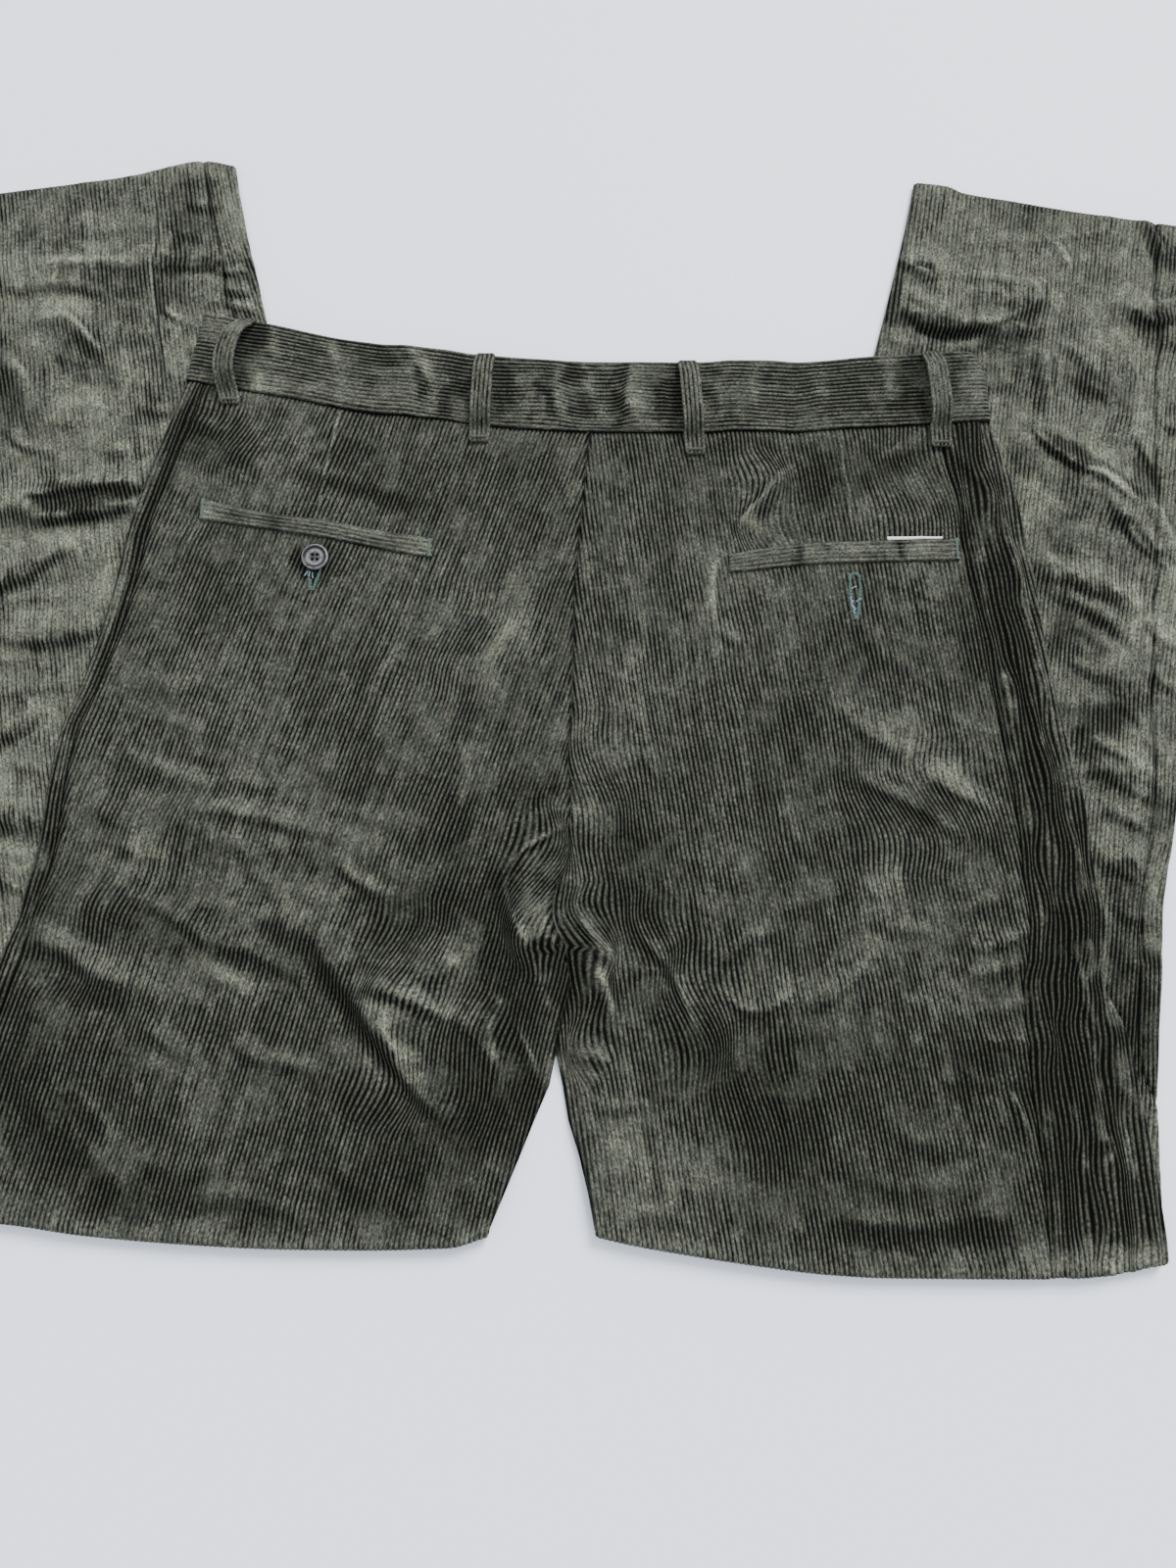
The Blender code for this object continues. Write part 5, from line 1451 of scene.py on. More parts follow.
def panel_patch(leg, front, rows, low, high, fine=True, strip=False):
    """The stretch of a panel between the distances low and high round the tube, on given rows.

    A row is (v, offset), so that a hem can turn in. The columns follow the wales, which run along
    the outer seam on the strip beside it.
    """
    v, offset = np.array(rows, float).T
    inner, outer, width = seam_at(leg, v)
    lo, hi = low(inner, outer, width), high(inner, outer, width)
    start, _, _ = width_of_row(leg, v)
    across = start - lean_at(leg, v)
    direction = leg.side
    if front:
        across = across + leg.side * (2 * width + ARC)
        direction = -leg.side
    if strip:
        across = -direction * outer
    ends = np.stack([across + direction * lo, across + direction * hi])
    a = wale_columns(ends.min(), ends.max(), fine)[:: direction]
    w = direction * (a[None, :] - across[:, None])
    below, above = (w < lo[:, None]).sum(1), (w > hi[:, None]).sum(1)
    w = np.clip(w, lo[:, None], hi[:, None])
    a = across[:, None] + direction * w

    v, offset = v[:, None] + 0 * w, offset[:, None] + 0 * w
    relief = WALE_DEPTH * (rib(a) - 1) * fine
    near_seam = np.minimum(w - inner[:, None], outer[:, None] - w)
    if front:
        whole = 2 * (width + ARC)
        near_seam = np.minimum(w - outer[:, None], (whole + inner)[:, None] - w)
    waist = WAIST_DIP * add_drifts(1, WAIST_UNEVEN, a, v) * (1 - ramp(v / SEAM_ROLL))
    side = (1 - FOLD_FLATTENS * near_fold(v)) * (1 - ramp(near_seam / SEAM_ROLL))
    dip = np.maximum(side, waist)
    if strip:
        relief = relief + add_drifts(0, STRIP_BUMPS, a, v) * ramp(near_seam / STRIP)
        inside = ramp(near_seam / STRIP_FADE) * ramp((width[:, None] - w) / STRIP_FADE)
        w = w + add_drifts(0, STRIP_WANDER, a, v) * inside
    points, folds = leg_point(leg, v, w, offset + (relief - SEAM_DEPTH * dip) * np.sign(offset))
    # darker in the dip of a seam: painted shade in its recess
    nap = nap_and_painted_light_of(v, points, folds) - SEAM_PAINTED_SHADE * dip
    if strip:
        nap = strip_nap_and_painted_light(leg, a, v, width[:, None] - w, nap)
    return patch(points, np.stack([a, v], axis=-1) / WALE, nap, leg.side > 0, below, above)


# Where the stretches of a panel begin and end, from the two seams and the width of the tube.
def at_inner(inner, outer, width):
    return inner


def at_outer(inner, outer, width):
    return outer


def past_inner_edge(inner, outer, width):
    return 0 * width + STRIP


def before_outer_edge(inner, outer, width):
    return np.minimum(width - STRIP, outer - 2 * STRIP)


def past_outer_edge(inner, outer, width):
    return width + ARC + STRIP


def round_to_inner(inner, outer, width):
    """The inner seam, reached from the outer one along the front."""
    return np.where(inner < 0, 2 * (width + ARC) + inner, 2 * width + ARC)


def level_rows(values):
    return [(v, OUTER) for v in values]


def hem_rows():
    """Round the folded edge of a hem and a little way inside."""
    turn = np.linspace(0, math.pi, ROUND_POINTS)
    edge = LEG_LENGTH - HEM_ROLL
    rows = [(edge + HEM_ROLL * math.sin(t), OUTER - HEM_ROLL + HEM_ROLL * math.cos(t)) for t in turn]
    inside = OUTER - 2 * HEM_ROLL
    return rows + [(edge - HEM_TURN / 2, inside), (edge - HEM_TURN, inside)]


def lower_rows(most):
    """The rows of a lower leg, down to its hem and round it."""
    return level_rows(steps(LOWER_START, LEG_LENGTH - HEM_ROLL, most)[:-1]) + hem_rows()


def centre_allowance():
    """The cloth below the centre seam, from one leg to the other."""
    v = steps(0, CENTRE_LENGTH, CENTRE_ROW)[:, None]
    deep = OUTER - WALL + 0 * v
    ends = [leg_point(leg, v, w + 0 * v, deep)[0]
            for leg, w in ((LEFT, ALLOWANCE), (LEFT, 0.0), (RIGHT, 0.0), (RIGHT, ALLOWANCE))]
    points = np.concatenate(ends, axis=1)
    # the darkest pile value, painted shade inside the centre seam
    return patch(points, points[..., :2] / WALE, 0 * points[..., 0] - 1, False)


def back_panel(leg, name, paint):
    """From the waist seam over the back, round the fold, and along the floor to the hem."""
    thigh = steps(0, THIGH_LENGTH, ROW)
    fold = steps(THIGH_LENGTH, LOWER_START, FOLD_ROW)[1:]
    if leg.side < 0:
        strip, rest = (at_inner, past_inner_edge), (past_inner_edge, at_outer)
    else:
        strip, rest = (before_outer_edge, at_outer), (at_inner, before_outer_edge)
    patches = [panel_patch(leg, False, level_rows([*thigh, *fold]), at_inner, at_outer),
               panel_patch(leg, False, lower_rows(ROW), *strip),
               panel_patch(leg, False, lower_rows(HIDDEN_ROW), *rest, fine=False)]
    if leg.side < 0:
        patches.append(centre_allowance())
    return shell(name, patches, paint)


def front_panel(leg, name, paint):
    """The strip that shows beside the outer seam, the hidden front, and the top of the lower leg."""
    thigh = steps(0, THIGH_LENGTH, ROW)
    fold = steps(THIGH_LENGTH, LOWER_START, HIDDEN_FOLD_ROW)
    hidden = [*steps(0, THIGH_LENGTH, HIDDEN_ROW), *fold[1:]]
    strip = (at_outer, past_outer_edge)
    patches = [panel_patch(leg, True, level_rows(thigh), *strip, strip=True),
               panel_patch(leg, True, level_rows(hidden), past_outer_edge, round_to_inner, fine=False),
               panel_patch(leg, True, level_rows(fold), *strip, strip=True),
               panel_patch(leg, True, lower_rows(ROW), at_outer, round_to_inner)]
    return shell(name, patches, paint)


def panel_cut(leg, front):
    """The width, length and area of a panel's cut, in metres."""
    v = steps(0, LEG_LENGTH, CUT_STEP)
    inner, outer, width = seam_at(leg, v)
    across = outer - inner
    if front:
        across = 2 * (width + ARC) + np.where(inner < 0, inner, -ARC) - outer
    area = ((across[1:] + across[:-1]) / 2 * np.diff(v)).sum() + HEM_TURN * across[-1]
    return across.max() * MM, (LEG_LENGTH + HEM_TURN) * MM, area * MM * MM


# ---------------------------------------------------------------- waistband
def band_edge(rows, t):
    return curve(rows, "y", "x", t)


def band_point(reach, turn, on_top, t, offset):
    """A point of the waistband: reach is -1 to 1 from end to end, t is 0 to 1 up the band."""
    edge = BAND_LAYER + BAND_WALL / 2
    left, right = band_edge(BAND_LEFT, t) + edge, band_edge(BAND_RIGHT, t) - edge
    x = np.where(reach < 0, -reach * left, reach * right)
    y = through(WAIST_SEAM, x) + SEAM / 2 + (BAND_HEIGHT - SEAM / 2) * t
    level = np.where(turn > 0, np.cos(turn), np.where(on_top, 1, -1)) * offset
    middle = on_top * np.sin(math.pi * np.clip(t, 0, 1)) ** BAND_HOLD
    wrinkle, over_x, over_y = fine_folds(BAND_FOLDS, x, y)
    wrinkle = add_crumples(wrinkle, BAND_CRUMPLES, x, y)
    raised = np.maximum(wrinkle, BAND_DEEPEST) * on_top * (BAND_SEWN + (1 - BAND_SEWN) * middle)
    z = edge + under_band(x, y) + level + raised
    y = y + middle * add_drifts(through(BAND_DROPS, x) + over_y, BAND_WANDER, x, y)
    x = x + np.sign(reach) * offset * np.sin(turn) + over_x * on_top
    return np.stack(np.broadcast_arrays(x, y, z), axis=-1), wrinkle * on_top


def band_stations():
    """From the centre front round one end, across the back and round the other end, as columns of
    how far out it is, how far it has turned round an end, and whether it is on the back."""
    fine = steps(0, BAND_REACH, ROW) / BAND_REACH
    coarse = steps(0, BAND_REACH, HIDDEN_COLUMN)[1:-1] / BAND_REACH
    arc = np.linspace(math.pi, 0, ROUND_POINTS)
    stations = [(-r, 0.0, False) for r in [BAND_SLIT, *coarse]]
    stations += [(-1.0, a, True) for a in arc]
    stations += [(r, 0.0, True) for r in [*(-fine[::-1])[1:], *fine[1:-1]]]
    stations += [(1.0, a, True) for a in arc[::-1]]
    stations += [(r, 0.0, False) for r in [*coarse[::-1], BAND_SLIT]]
    return (np.array(column)[None] for column in zip(*stations))


def band_rows():
    """Up the outer side of the band, over its top edge and a little way down inside, as columns of
    how far up it is and how far it is from the band's middle surface."""
    radius, outer = BAND_WALL / 2, BAND_LAYER + BAND_WALL / 2
    across = wale_columns(0, BAND_HEIGHT - radius, True)
    rows = [(s, outer) for s in across if s < BAND_HEIGHT - radius]
    rows += [(BAND_HEIGHT - radius + radius * math.sin(t), outer - radius + radius * math.cos(t))
             for t in np.linspace(0, math.pi, ROUND_POINTS)]
    rows += [(BAND_HEIGHT - radius - BAND_TURN, outer - BAND_WALL)]
    return (np.array(column)[:, None] for column in zip(*rows))


def waistband(paint):
    """One band round the waist, with its wales lengthwise."""
    reach, turn, on_top = band_stations()
    s, offset = band_rows()
    dip = WAIST_DIP * (1 - ramp(s / SEAM_ROLL))
    relief = WALE_DEPTH * (rib(s) - 1) * (offset > BAND_LAYER) - SEAM_DEPTH * dip
    points, folds = band_point(reach, turn, on_top, s / BAND_HEIGHT, offset + relief)
    along = np.where(on_top, reach, 2 * np.sign(reach) - reach) * BAND_REACH + 0 * s
    wale = np.stack([s + 0 * along, along], axis=-1) / WALE
    rise_x, rise_y = plan_slope(points, folds)
    # painted shade in the dip of the waist seam, and the band's patches, with painted shadows beside the
    # belt loops
    nap = BAND_NAP - SEAM_PAINTED_SHADE * dip + tones(BAND_TONES, points[..., 0], points[..., 1])
    # painted light on the band's raised folds and on slopes that face the sun at the upper right,
    # painted shade on slopes that face away
    nap = nap + BAND_FOLD_PAINTED_LIGHT * folds - rise_x - rise_y
    return shell("waistband_cloth", [patch(points, wale, limited(nap), False)], paint)


# ---------------------------------------------------------------- belt loops
def ring_profile():
    """Round the section of a strap: (sideways, up, whether it is ribbed) for each point."""
    half, r = LOOP_WIDTH / 2, LOOP_WALL / 2
    top = [(s, LOOP_WALL, True) for s in np.linspace(r - half, half - r, STRAP_TOP_POINTS)]
    right = [(half - r + r * math.sin(t), r + r * math.cos(t), False)
             for t in np.linspace(0, math.pi, STRAP_EDGE_POINTS)[1:-1]]
    bottom = [(s, 0.0, False) for s in np.linspace(half - r, r - half, STRAP_UNDER_POINTS)]
    left = [(-x, z, False) for x, z, _ in reversed(right)]
    return top + right + bottom + left


def strap(name, line, paint, nap=0.0):
    """A strap whose underside follows a line of (x, y, z) points, with wales along it."""
    line = np.array(line, float)
    side, up, ribbed = (np.array(column)[None, :] for column in zip(*ring_profile()))
    phase = side + WALE / 2
    rise = up + WALE_DEPTH * (rib(phase) - 1) * ribbed
    along = np.gradient(line, axis=0)
    run = np.concatenate([[0], np.cumsum(np.linalg.norm(np.diff(line, axis=0), axis=1))])
    from_end = np.clip(np.minimum(run, run[-1] - run) / STRAP_END, 0, 1)[:, None]
    side = side * (1 - STRAP_NARROWS * (1 - from_end) ** 2)
    rise = rise * (1 - STRAP_THINS * (1 - from_end) ** 2)
    normal = np.stack([0 * along[:, 0], -along[:, 2], along[:, 1]], axis=1)
    normal /= np.linalg.norm(normal, axis=1)[:, None]
    points = line[:, None, :] + rise[..., None] * normal[:, None, :]
    points[..., 0] += side
    points = np.concatenate([points, points[:, :1]], axis=1)
    phase = np.concatenate([phase, phase[:, :1]], axis=1) + 0 * run[:, None]
    wale = np.stack([phase, run[:, None] + 0 * phase], axis=-1) / WALE
    shade = nap + 0 * phase
    first, last = (np.broadcast_to(points[end].mean(0), points[end].shape)[None] for end in (0, -1))
    points = np.concatenate([first, points, last])
    wale = np.concatenate([wale[:1], wale, wale[-1:]])
    shade = np.concatenate([shade[:1], shade, shade[-1:]])
    return shell(name, [patch(points, wale, shade, True)], paint)


def belt_loop(loop):
    """The line of a loop's underside.

    It is sewn below the waist seam and at the top edge, and bowed up between for the belt.
    """
    seam_y = float(through(WAIST_SEAM, loop.x_foot))
    top_y = float(through(WAIST_SEAM, loop.x_head)) + BAND_HEIGHT
    foot, head = seam_y - loop.y_foot, top_y - LIE_GAP
    half = LOOP_WIDTH / 2
    line = []
    for t in np.linspace(0, 1, LOOP_STATIONS):
        y = foot + (head - foot) * t
        x = loop.x_foot + (loop.x_head - loop.x_foot) * t + loop.bow_side * math.sin(math.pi * t)
        near = np.array([x - half, x, x + half])
        seat, band = top_of_seat(near, y).max(), top_of_band(near, y).max()
        on_band = ramp((y - seam_y + LOOP_STEP / 2) / LOOP_STEP)
        rest = float(seat + (max(band, seat) - seat) * on_band) + LIE_GAP
        rise = ramp((y - seam_y + LOOP_FREE) / LOOP_RISE)
        fall = ramp((top_y - LOOP_TACK - y) / LOOP_FALL)
        line.append((x, y, rest + loop.bow_up * float(rise * fall)))
    return line


def loop_tack(line):
    """A row of stitches across the foot of a belt loop."""
    x, y, z = line[TACK_AT]
    half = LOOP_WIDTH / 2 - LOOP_WALL
    path = [(x - half, y), (x + half, y)]
    return stitches(path, LOOP_STITCH, lambda a, b: z + LOOP_WALL + 0 * a)


def front_loop(x):
    """Flat on the floor under the front of the waistband."""
    seam_y = float(through(WAIST_SEAM, x))
    up = np.linspace(LOOP_TACK, BAND_HEIGHT - LOOP_TACK, FRONT_LOOP_STATIONS)
    return [(x, seam_y + y, 0.0) for y in up]


# ---------------------------------------------------------------- pockets
def top_of_welt(row, x, y):
    low, high = through(row.bottom, x), through(row.top, x)
    t = np.clip((y - low) / (high - low), 0, 1)
    return top_of_seat(x, y) + LIE_GAP + WELT_WALL + WELT_CROWN * np.sin(math.pi * t)


def welt(row, paint):
    """A narrow band on the back panel, its wales lengthwise and its edges rolled down."""
    x = steps(row.top[0].x, row.top[-1].x, WELT_COLUMN)
    x = np.concatenate([[x[0], x[0] + WELT_END], x[1:-1], [x[-1] - WELT_END, x[-1]]])[None, :]
    low, high = through(row.bottom, x), through(row.top, x)
    height = float((high - low).mean())
    edge = np.array(WELT_EDGE)
    middle = np.linspace(WELT_WALL, height - WELT_WALL, WELT_ROWS)
    s = np.concatenate([edge, middle, height - edge[::-1]])[:, None]
    y = low + (high - low) * s / height
    x = x + 0 * y
    from_edge = np.minimum(np.minimum(s, height - s), np.minimum(x - x.min(), x.max() - x) + WELT_END)
    roll = np.sqrt(np.clip(1 - (1 - from_edge / WELT_WALL).clip(0, 1) ** 2, 0, 1))
    thick = top_of_welt(row, x, y) - top_of_seat(x, y) + WALE_DEPTH * (rib(s) - 1)
    z = top_of_seat(x, y) + thick * roll - WELT_SINK * (1 - roll)
    wale = np.stack([s + 0 * x, x], axis=-1) / WALE
    # painted shade along the welt's rolled edges
    nap = WELT_NAP + tones(WELT_TONES, x, y) - WELT_EDGE_PAINTED_SHADE * (1 - roll)
    return shell(f"{row.name}_cloth", [patch(np.stack([x, y, z], axis=-1), wale, nap, False)], paint)


def pocketing(paint):
    """The edge of the pocket's white lining, a thin wedge above the right welt."""
    along = np.linspace(0, 1, POCKETING_COLUMNS)[None, :]
    x = POCKETING_START + POCKETING_LENGTH * along
    t = np.linspace(0, 1, POCKETING_ROWS)[:, None]
    depth = POCKETING_DEPTH + (POCKETING_END - POCKETING_DEPTH) * along
    y = through(WELTS[1].top, x) - POCKETING_TUCK + (depth + POCKETING_TUCK) * t
    x = x + 0 * y
    z = top_of_seat(x, y) + LIE_GAP + POCKETING_WALL * np.sin(math.pi * t) ** 0.5
    points, wale = np.stack([x, y, z], axis=-1), np.stack([x, y], axis=-1)
    return shell("pocketing_cloth", [patch(points, wale, 0 * x, False)], paint)


# ---------------------------------------------------------------- threads
def thread_piece(name, lines, paint):
    """Round threads that follow lines of points, joined in one mesh."""
    corners = np.linspace(0, 2 * math.pi, THREAD_SIDES, endpoint=False)[None, :, None]
    points, faces = [], []
    for line in lines:
        line = np.array(line, float)
        along = np.gradient(line, axis=0)
        side = np.cross(along, (0.0, 0.0, 1.0))
        side /= np.linalg.norm(side, axis=1)[:, None]
        up = np.cross(side, along)
        up /= np.linalg.norm(up, axis=1)[:, None]
        ring = line[:, None] + THREAD * (np.cos(corners) * side[:, None] + np.sin(corners) * up[:, None])
        first = len(points)
        points += [tuple(point) for point in (ring.reshape(-1, 3) - ORIGIN) * MM]
        faces += ring_faces(first, len(line), THREAD_SIDES)
        last = len(points) - THREAD_SIDES
        faces.append(tuple(range(first + THREAD_SIDES - 1, first - 1, -1)))
        faces.append(tuple(range(last, last + THREAD_SIDES)))
    mesh = bpy.data.meshes.new(name)
    mesh.from_pydata(points, [], faces)
    mesh.shade_smooth()
    mesh.materials.append(paint)
    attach(linked(name, mesh), "root")


def stitches(path, stitch, top):
    """Short threads across a path of plan points, arched over the cloth."""
    path = np.array(path, float)
    far = np.concatenate([[0], np.cumsum(np.hypot(*np.diff(path, axis=0).T))])
    at = np.arange(stitch.spacing / 2, far[-1], stitch.spacing)
    middle = np.stack([np.interp(at, far, path[:, 0]), np.interp(at, far, path[:, 1])], axis=1)
    ahead = np.gradient(middle, axis=0)
    ahead /= np.linalg.norm(ahead, axis=1)[:, None]
    uneven = np.random.RandomState(stitch.seed).uniform(-1, 1, (3, len(at), 1))
    across = np.stack([-ahead[:, 1], ahead[:, 0]], axis=1) + STITCH_SLANT * uneven[0] * ahead
    middle = middle + STITCH_SHIFT * uneven[1] * stitch.reach * across
    t = np.linspace(-1, 1, STITCH_POINTS)
    reach = t[None, :, None] * stitch.reach * (1 + STITCH_UNEVEN * uneven[2][:, None])
    points = middle[:, None] + reach * across[:, None]
    z = top(points[..., 0], points[..., 1]) + THREAD_ARCH * (1 - t ** 2)[None]
    return list(np.concatenate([points, z[..., None]], axis=-1))


def buttonhole_legs(legs):
    """The stitches along the two legs of a keyhole buttonhole."""
    lines = []
    for leg, stitch in zip(legs, LEG_STITCHES):
        lines += stitches(leg, stitch, top_of_seat)
    return lines


def eyelet():
    """The stitches round the eyelet of the buttonhole that shows whole."""
    x, y = EYELET_AT
    turn = np.linspace(*EYELET_TURN, EYELET_POINTS)
    ring = [(x + EYELET * math.cos(t), y + EYELET * math.sin(t)) for t in turn]
    return stitches(ring, EYELET_STITCH, top_of_seat)


def welt_tack(tack):
    """Stitches up the end of a welt."""
    row = WELTS[tack.welt]
    low = float(through(row.bottom, tack.x)) + TACK_INSET
    high = float(through(row.top, tack.x)) - TACK_INSET
    path = [(tack.x, low), (tack.x, high)]
    return stitches(path, tack.stitch, lambda a, b: top_of_welt(row, a, b))


def frays():
    """The loose ends of thread."""
    lines = []
    for k, fray in enumerate(FRAYS):
        t = np.linspace(0, 1, FRAY_POINTS)
        bow = FRAY_BOW * fray.length * np.random.RandomState(FRAY_SEED + k).uniform(-1, 1)
        turn = math.radians(fray.turn)
        ahead, aside = fray.length * t, bow * np.sin(math.pi * t)
        x = fray.x + ahead * math.cos(turn) - aside * math.sin(turn)
        y = fray.y + ahead * math.sin(turn) + aside * math.cos(turn)
        lines.append(np.stack([x, y, top_of_seat(x, y) + FRAY_LIFT + FRAY_RISE * t], axis=-1))
    return lines


# ---------------------------------------------------------------- button
def turned_button():
    """The button before its holes are cut, as a mesh round its own origin."""
    turn = np.linspace(0, 2 * math.pi, BUTTON_SIDES, endpoint=False)[None, :]
    r = np.array([p.x for p in BUTTON_PROFILE])[:, None]
    z = np.array([p.y for p in BUTTON_PROFILE])[:, None] + 0 * turn
    grid = np.stack([r * np.cos(turn), r * np.sin(turn), z], axis=-1)[1:-1]
    points = [tuple(p) for p in grid.reshape(-1, 3)] + [(0, 0, 0.0), (0, 0, BUTTON_PROFILE[-1].y)]
    faces = ring_faces(0, len(grid), BUTTON_SIDES)
    bottom, top = len(points) - 2, len(points) - 1
    rim = (len(grid) - 1) * BUTTON_SIDES
    ahead = [(i + 1) % BUTTON_SIDES for i in range(BUTTON_SIDES)]
    faces += [(after, i, bottom) for i, after in enumerate(ahead)]
    faces += [(rim + i, rim + after, top) for i, after in enumerate(ahead)]
    mesh = bpy.data.meshes.new("button_turned")
    mesh.from_pydata([(x * MM, y * MM, z * MM) for x, y, z in points], [], faces)
    return mesh


def button(paint):
    """A turned button with a raised rim and four holes."""
    obj = linked("button_turned", turned_button())
    x, y = BUTTON_AT
    at = np.array([x, y, float(top_of_seat(x, y)) + BUTTON_GAP]) - ORIGIN
    obj.location = at * MM
    obj.data.materials.append(paint(tuple(at * MM)))
    cutters = []
    for k in range(4):
        angle = math.radians(45 + 90 * k)
        place = obj.location + Vector((math.cos(angle), math.sin(angle), 0)) * HOLE_RING * MM
        bpy.ops.mesh.primitive_cylinder_add(vertices=HOLE_SIDES, radius=HOLE_RADIUS * MM,
                                            depth=HOLE_CUT * MM, location=place)
        cutters.append(bpy.context.active_object)
        cut = obj.modifiers.new(f"hole_{k}", "BOOLEAN")
        cut.object = cutters[-1]
    bpy.context.view_layer.update()
    cut_mesh = bpy.data.meshes.new_from_object(obj.evaluated_get(bpy.context.evaluated_depsgraph_get()))
    cut_mesh.transform(obj.matrix_world)
    for old in [obj, *cutters]:
        bpy.data.objects.remove(old, do_unlink=True)
    cut_mesh.shade_smooth()
    cut_mesh.set_sharp_from_angle(angle=math.radians(BUTTON_SHARP))
    return linked("button_turned", cut_mesh)


# ---------------------------------------------------------------- materials
def new_material(name):
    material = bpy.data.materials.new(name)
    material.use_nodes = True
    return material, material.node_tree, material.node_tree.nodes["Principled BSDF"]


def fill(tree, node, inputs):
    """Gives inputs of a node their values, where a value may be another node's socket."""
    for key, value in inputs.items():
        if isinstance(value, bpy.types.NodeSocket):
            tree.links.new(value, node.inputs[key])
        else:
            node.inputs[key].default_value = value


def add(tree, kind, inputs=None, **settings):
    """A new node with its settings and inputs."""
    node = tree.nodes.new(kind)
    for key, value in settings.items():
        setattr(node, key, value)
    fill(tree, node, inputs or {})
    return node


def maths(tree, operation, a, b=0.0, c=0.0, clamp=False):
    node = add(tree, "ShaderNodeMath", {0: a, 1: b, 2: c}, operation=operation, use_clamp=clamp)
    return node.outputs[0]


def vectors(tree, operation, inputs):
    return add(tree, "ShaderNodeVectorMath", inputs, operation=operation).outputs[0]


def noise(tree, vector, scale, detail, roughness=0.5):
    values = {"Vector": vector, "Scale": scale, "Detail": detail, "Roughness": roughness}
    return add(tree, "ShaderNodeTexNoise", values).outputs["Fac"]


def mix(tree, factor, dark, light):
    values = {"Factor": factor, "A": (*dark, 1), "B": (*light, 1)}
    return add(tree, "ShaderNodeMix", values, data_type="RGBA").outputs[2]


def colour_ramp(tree, factor, stops):
    """A colour that follows (position, colour) stops, of which the first is at 0 and the last at 1."""
    node = add(tree, "ShaderNodeValToRGB", {"Fac": factor})
    elements = node.color_ramp.elements
    for element, (position, colour) in zip(elements, (stops[0], stops[-1])):
        element.position, element.color = position, (*colour, 1)
    for position, colour in stops[1:-1]:
        elements.new(position).color = (*colour, 1)
    return node.outputs["Color"]


PileNoise = namedtuple("PileNoise", "stretch scale detail roughness gain")
# What makes the pile lie unevenly, by place or, where stretched, along and across the wales.
PILE_NOISES = [
    PileNoise(None, 14.0, 3.0, 0.55, 0.8),
    PileNoise(None, 48.0, 4.0, 0.6, 0.7),
    PileNoise(None, 160.0, 3.0, 0.6, 0.75),
    PileNoise((0.5, 0.05), 1.0, 2.0, 0.6, 0.9),
    PileNoise((1.2, 0.35), 1.0, 2.0, 0.6, 1.2),
]
PILE_STOPS = [
    (0.0, (0.036, 0.039, 0.03)),
    (0.3, (0.054, 0.0575, 0.047)),
    (0.6, (0.092, 0.0965, 0.0775)),
    (1.0, (0.22, 0.23, 0.178)),
]
PILE_TINTS = (0.93, 1.02, 1.02), (1.07, 0.98, 0.95)
GAPE_FALL, GAPE_BASE, GAPE_LEAST, GAPE_MOST = -3.2, 2.15, 0.3, 3.4  # how far the grooves gape


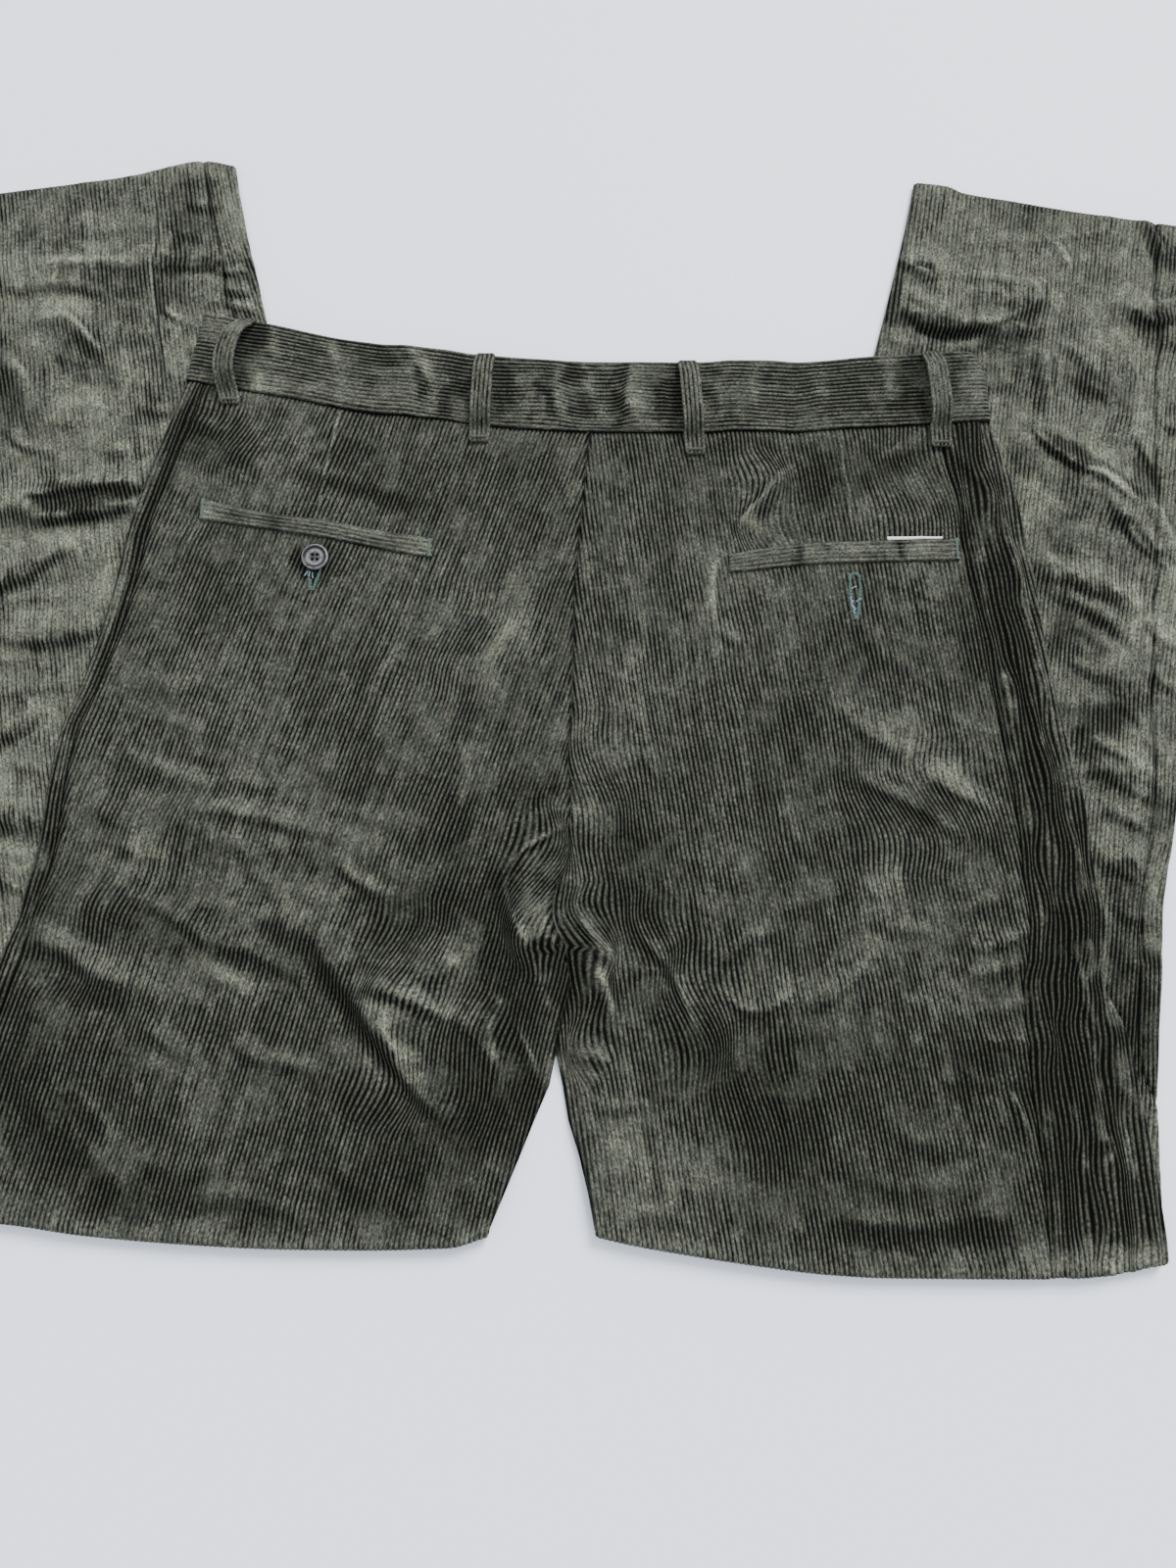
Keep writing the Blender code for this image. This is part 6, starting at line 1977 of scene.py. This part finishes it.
def corduroy(name, contrast):
    """Ribbed pile, coloured from its nap and painted light. Its grooves are painted dark, partly as the
    backing between the ribs and partly as shade in them; they gape where it lies dark, and here and
    there it is crushed flat.
    """
    material, tree, shader = new_material(name)
    uv = add(tree, "ShaderNodeUVMap", uv_map="wale").outputs[0]
    split = add(tree, "ShaderNodeSeparateXYZ", {0: uv})
    wave = maths(tree, "COSINE", maths(tree, "MULTIPLY", split.outputs[0], 2 * math.pi))
    place = add(tree, "ShaderNodeTexCoord").outputs["Object"]

    def stretched(x, y):
        return vectors(tree, "MULTIPLY", {0: uv, 1: (x, y, 1.0)})

    tone = add(tree, "ShaderNodeAttribute", attribute_name="nap").outputs["Fac"]
    for row in PILE_NOISES:
        vector = stretched(*row.stretch) if row.stretch else place
        value = noise(tree, vector, row.scale, row.detail, row.roughness)
        tone = maths(tree, "ADD", tone, maths(tree, "MULTIPLY_ADD", value, row.gain, -0.5 * row.gain))
    tone = maths(tree, "MULTIPLY_ADD", tone, 0.5, 0.5)
    gape = maths(tree, "MINIMUM", maths(tree, "MULTIPLY_ADD", tone, GAPE_FALL, GAPE_BASE), GAPE_MOST)
    hump = maths(tree, "MULTIPLY_ADD", wave, -0.5, 0.5)
    crest = maths(tree, "POWER", hump, maths(tree, "MAXIMUM", gape, GAPE_LEAST))
    worn = noise(tree, place, 34.0, 3.0, 0.6)
    worn = maths(tree, "MULTIPLY_ADD", worn, 2.9 * contrast, 0.4 - 0.6 * contrast)
    cut = maths(tree, "MULTIPLY_ADD", tone, -1.0, worn, clamp=True)
    # painted shade in the grooves, with the backing that shows between the ribs
    groove = maths(tree, "MULTIPLY", cut, maths(tree, "SUBTRACT", 1.0, crest))
    ribs = maths(tree, "SUBTRACT", 1.0, groove)
    fibre = noise(tree, stretched(9.0, 5.0), 1.0, 2.0, 0.7)
    tuft = noise(tree, stretched(2.6, 1.5), 1.0, 2.0, 0.7)
    tuft = maths(tree, "MAXIMUM", maths(tree, "MULTIPLY_ADD", tuft, 4.2, -1.1), 0.15)
    shade = maths(tree, "MULTIPLY", ribs, maths(tree, "MULTIPLY_ADD", fibre, 1.8, 0.1))
    shade = maths(tree, "MULTIPLY", shade, tuft)
    tint = mix(tree, noise(tree, place, 90.0, 2.0), *PILE_TINTS)
    tinted = vectors(tree, "MULTIPLY", {0: colour_ramp(tree, tone, PILE_STOPS), 1: tint})
    height = maths(tree, "MULTIPLY_ADD", fibre, 0.5, crest)
    bump = add(tree, "ShaderNodeBump", {"Height": height, "Strength": 0.5, "Distance": 0.0004})
    fill(tree, shader, {
        "Base Color": vectors(tree, "SCALE", {0: tinted, "Scale": shade}),
        "Roughness": 0.9,
        "Specular IOR Level": 0.06,
        "Sheen Weight": 0.03,
        "Sheen Roughness": 0.5,
        "Sheen Tint": (0.75, 0.8, 0.72, 1),
        "Normal": bump.outputs[0],
    })
    return material


def thread(name, dark, light):
    """Sewing thread, uneven along its length."""
    material, tree, shader = new_material(name)
    place = add(tree, "ShaderNodeNewGeometry").outputs["Position"]
    colour = mix(tree, noise(tree, place, 900.0, 2.0, 0.6), dark, light)
    fill(tree, shader, {"Base Color": colour, "Roughness": 0.7, "Sheen Weight": 0.2})
    return material


def cotton():
    """Plain white pocketing."""
    material, tree, shader = new_material("pocketing_twill")
    place = add(tree, "ShaderNodeNewGeometry").outputs["Position"]
    colour = mix(tree, noise(tree, place, 1500.0, 2.0), (0.62, 0.61, 0.55), (0.9, 0.89, 0.84))
    fill(tree, shader, {"Base Color": colour, "Roughness": 0.9})
    return material


HornShade = namedtuple("HornShade", "position shade")
HORN_SHADES = [
    HornShade(0.0, 0.045),
    HornShade(0.36, 0.05),
    HornShade(0.46, 0.15),
    HornShade(0.58, 0.13),
    HornShade(0.66, 0.012),
    HornShade(0.8, 0.016),
    HornShade(0.87, 0.19),
    HornShade(1.0, 0.1),
]
HORN_REACH = 8.0  # the last shade is this far from the middle, mm
HORN_WAVER = 0.0006  # how unevenly the rings run, m


def horn(middle):
    """Grey horn: a mottled dish, a dark ring round it and a paler rim."""
    material, tree, shader = new_material("button_horn")
    place = add(tree, "ShaderNodeNewGeometry").outputs["Position"]
    from_middle = vectors(tree, "SUBTRACT", {0: place, 1: middle})
    level = vectors(tree, "MULTIPLY", {0: from_middle, 1: (1.0, 1.0, 0.0)})
    far = add(tree, "ShaderNodeVectorMath", {0: level}, operation="LENGTH").outputs["Value"]
    swirl = noise(tree, place, 420.0, 4.0, 0.6)
    centred = maths(tree, "SUBTRACT", far, HORN_WAVER / 2)
    ring = maths(tree, "MULTIPLY_ADD", swirl, HORN_WAVER, centred)
    ring = maths(tree, "MULTIPLY", ring, 1 / (HORN_REACH * MM))
    rings = colour_ramp(tree, ring, [(row.position, (row.shade,) * 3) for row in HORN_SHADES])
    mottling = maths(tree, "MULTIPLY_ADD", swirl, 2.4, -0.2)
    fill(tree, shader, {
        "Base Color": vectors(tree, "SCALE", {0: rings, "Scale": mottling}),
        "Roughness": 0.32,
        "Specular IOR Level": 0.2,
    })
    return material


# ---------------------------------------------------------------- floor, light and camera
def stage():
    """A white floor under an even sky and one soft sun."""
    bpy.ops.mesh.primitive_plane_add(size=FLOOR_SIZE, location=(0, 0, 0))
    floor = bpy.context.active_object
    floor.name = "floor"
    material, tree, shader = new_material("floor_white")
    fill(tree, shader, {"Base Color": (*FLOOR_COLOUR, 1), "Roughness": 0.6})
    floor.data.materials.append(material)

    world = bpy.data.worlds.new("studio")
    bpy.context.scene.world = world
    world.use_nodes = True
    sky = {"Color": (*SKY_COLOUR, 1), "Strength": WORLD_POWER}
    fill(world.node_tree, world.node_tree.nodes["Background"], sky)

    light = bpy.data.lights.new("key", "SUN")
    light.energy = KEY_POWER
    light.angle = math.radians(KEY_SPREAD)
    sun = linked("key", light)
    sun.rotation_euler = Vector(KEY_FROM).to_track_quat("Z", "Y").to_euler()


def camera():
    """Above the middle of the plan, tilted a little towards the waist."""
    lens = bpy.data.cameras.new("camera")
    lens.lens, lens.sensor_width = CAMERA_LENS, CAMERA_SENSOR
    lens.clip_start, lens.clip_end = CAMERA_CLIP
    obj = linked("camera", lens)
    obj.location = (-ORIGIN[0] * MM, -ORIGIN[1] * MM, CAMERA_HEIGHT * MM)
    obj.rotation_euler = (math.radians(CAMERA_TILT), 0, 0)
    bpy.context.scene.camera = obj


# ---------------------------------------------------------------- the trousers
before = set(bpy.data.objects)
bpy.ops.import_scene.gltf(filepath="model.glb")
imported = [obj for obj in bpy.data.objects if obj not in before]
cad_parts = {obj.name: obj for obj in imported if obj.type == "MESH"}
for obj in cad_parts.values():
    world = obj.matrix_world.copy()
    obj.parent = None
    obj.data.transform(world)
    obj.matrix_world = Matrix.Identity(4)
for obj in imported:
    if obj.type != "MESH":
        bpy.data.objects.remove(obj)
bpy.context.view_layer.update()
camera()
stage()
cloth = corduroy("corduroy", 1.0)
trim = corduroy("corduroy_trim", 0.55)
for side, leg in (("left", LEFT), ("right", RIGHT)):
    for face, make in (("front", front_panel), ("back", back_panel)):
        node = f"{face}_{side}"
        panel = finish_piece(make(leg, f"{node}_shell", cloth), "corduroy", node)
        width, length, area = panel_cut(leg, face == "front")
band = finish_piece(waistband(cloth), "corduroy", "waistband")
tacks = []
for loop in LOOPS:
    line = belt_loop(loop)
    tacks += loop_tack(line)
    piece = finish_piece(strap(f"{loop.name}_strap", line, cloth, nap=LOOP_NAP), "corduroy", loop.name)
for side, x in (("left", -FRONT_LOOP_X), ("right", FRONT_LOOP_X)):
    node = f"belt_loop_front_{side}"
    line = front_loop(x)
    piece = finish_piece(strap(f"{node}_strap", line, cloth), "corduroy", node)
left_welt, right_welt = (finish_piece(welt(row, trim), "corduroy", row.name) for row in WELTS)
lining = finish_piece(pocketing(cotton()), "pocketing", "pocketing_right")
finish_piece(button(horn), "button", "button")

green = thread("thread_green", (0.03, 0.07, 0.06), (0.12, 0.22, 0.185))
blue = thread("thread_blue", (0.1, 0.14, 0.22), (0.4, 0.48, 0.6))
olive = thread("thread_olive", (0.012, 0.014, 0.01), (0.05, 0.055, 0.04))
sage = thread("thread_sage", (0.05, 0.08, 0.06), (0.13, 0.2, 0.15))
holes = buttonhole_legs(HOLE_LEGS_RIGHT) + eyelet() + buttonhole_legs(HOLE_LEGS_LEFT)
ends = [line for tack in WELT_TACKS for line in welt_tack(tack)]
thread_piece("buttonhole_stitches", holes, green)
thread_piece("welt_end_stitches", ends, sage)
thread_piece("loose_threads", frays(), blue)
thread_piece("loop_stitches", tacks, olive)
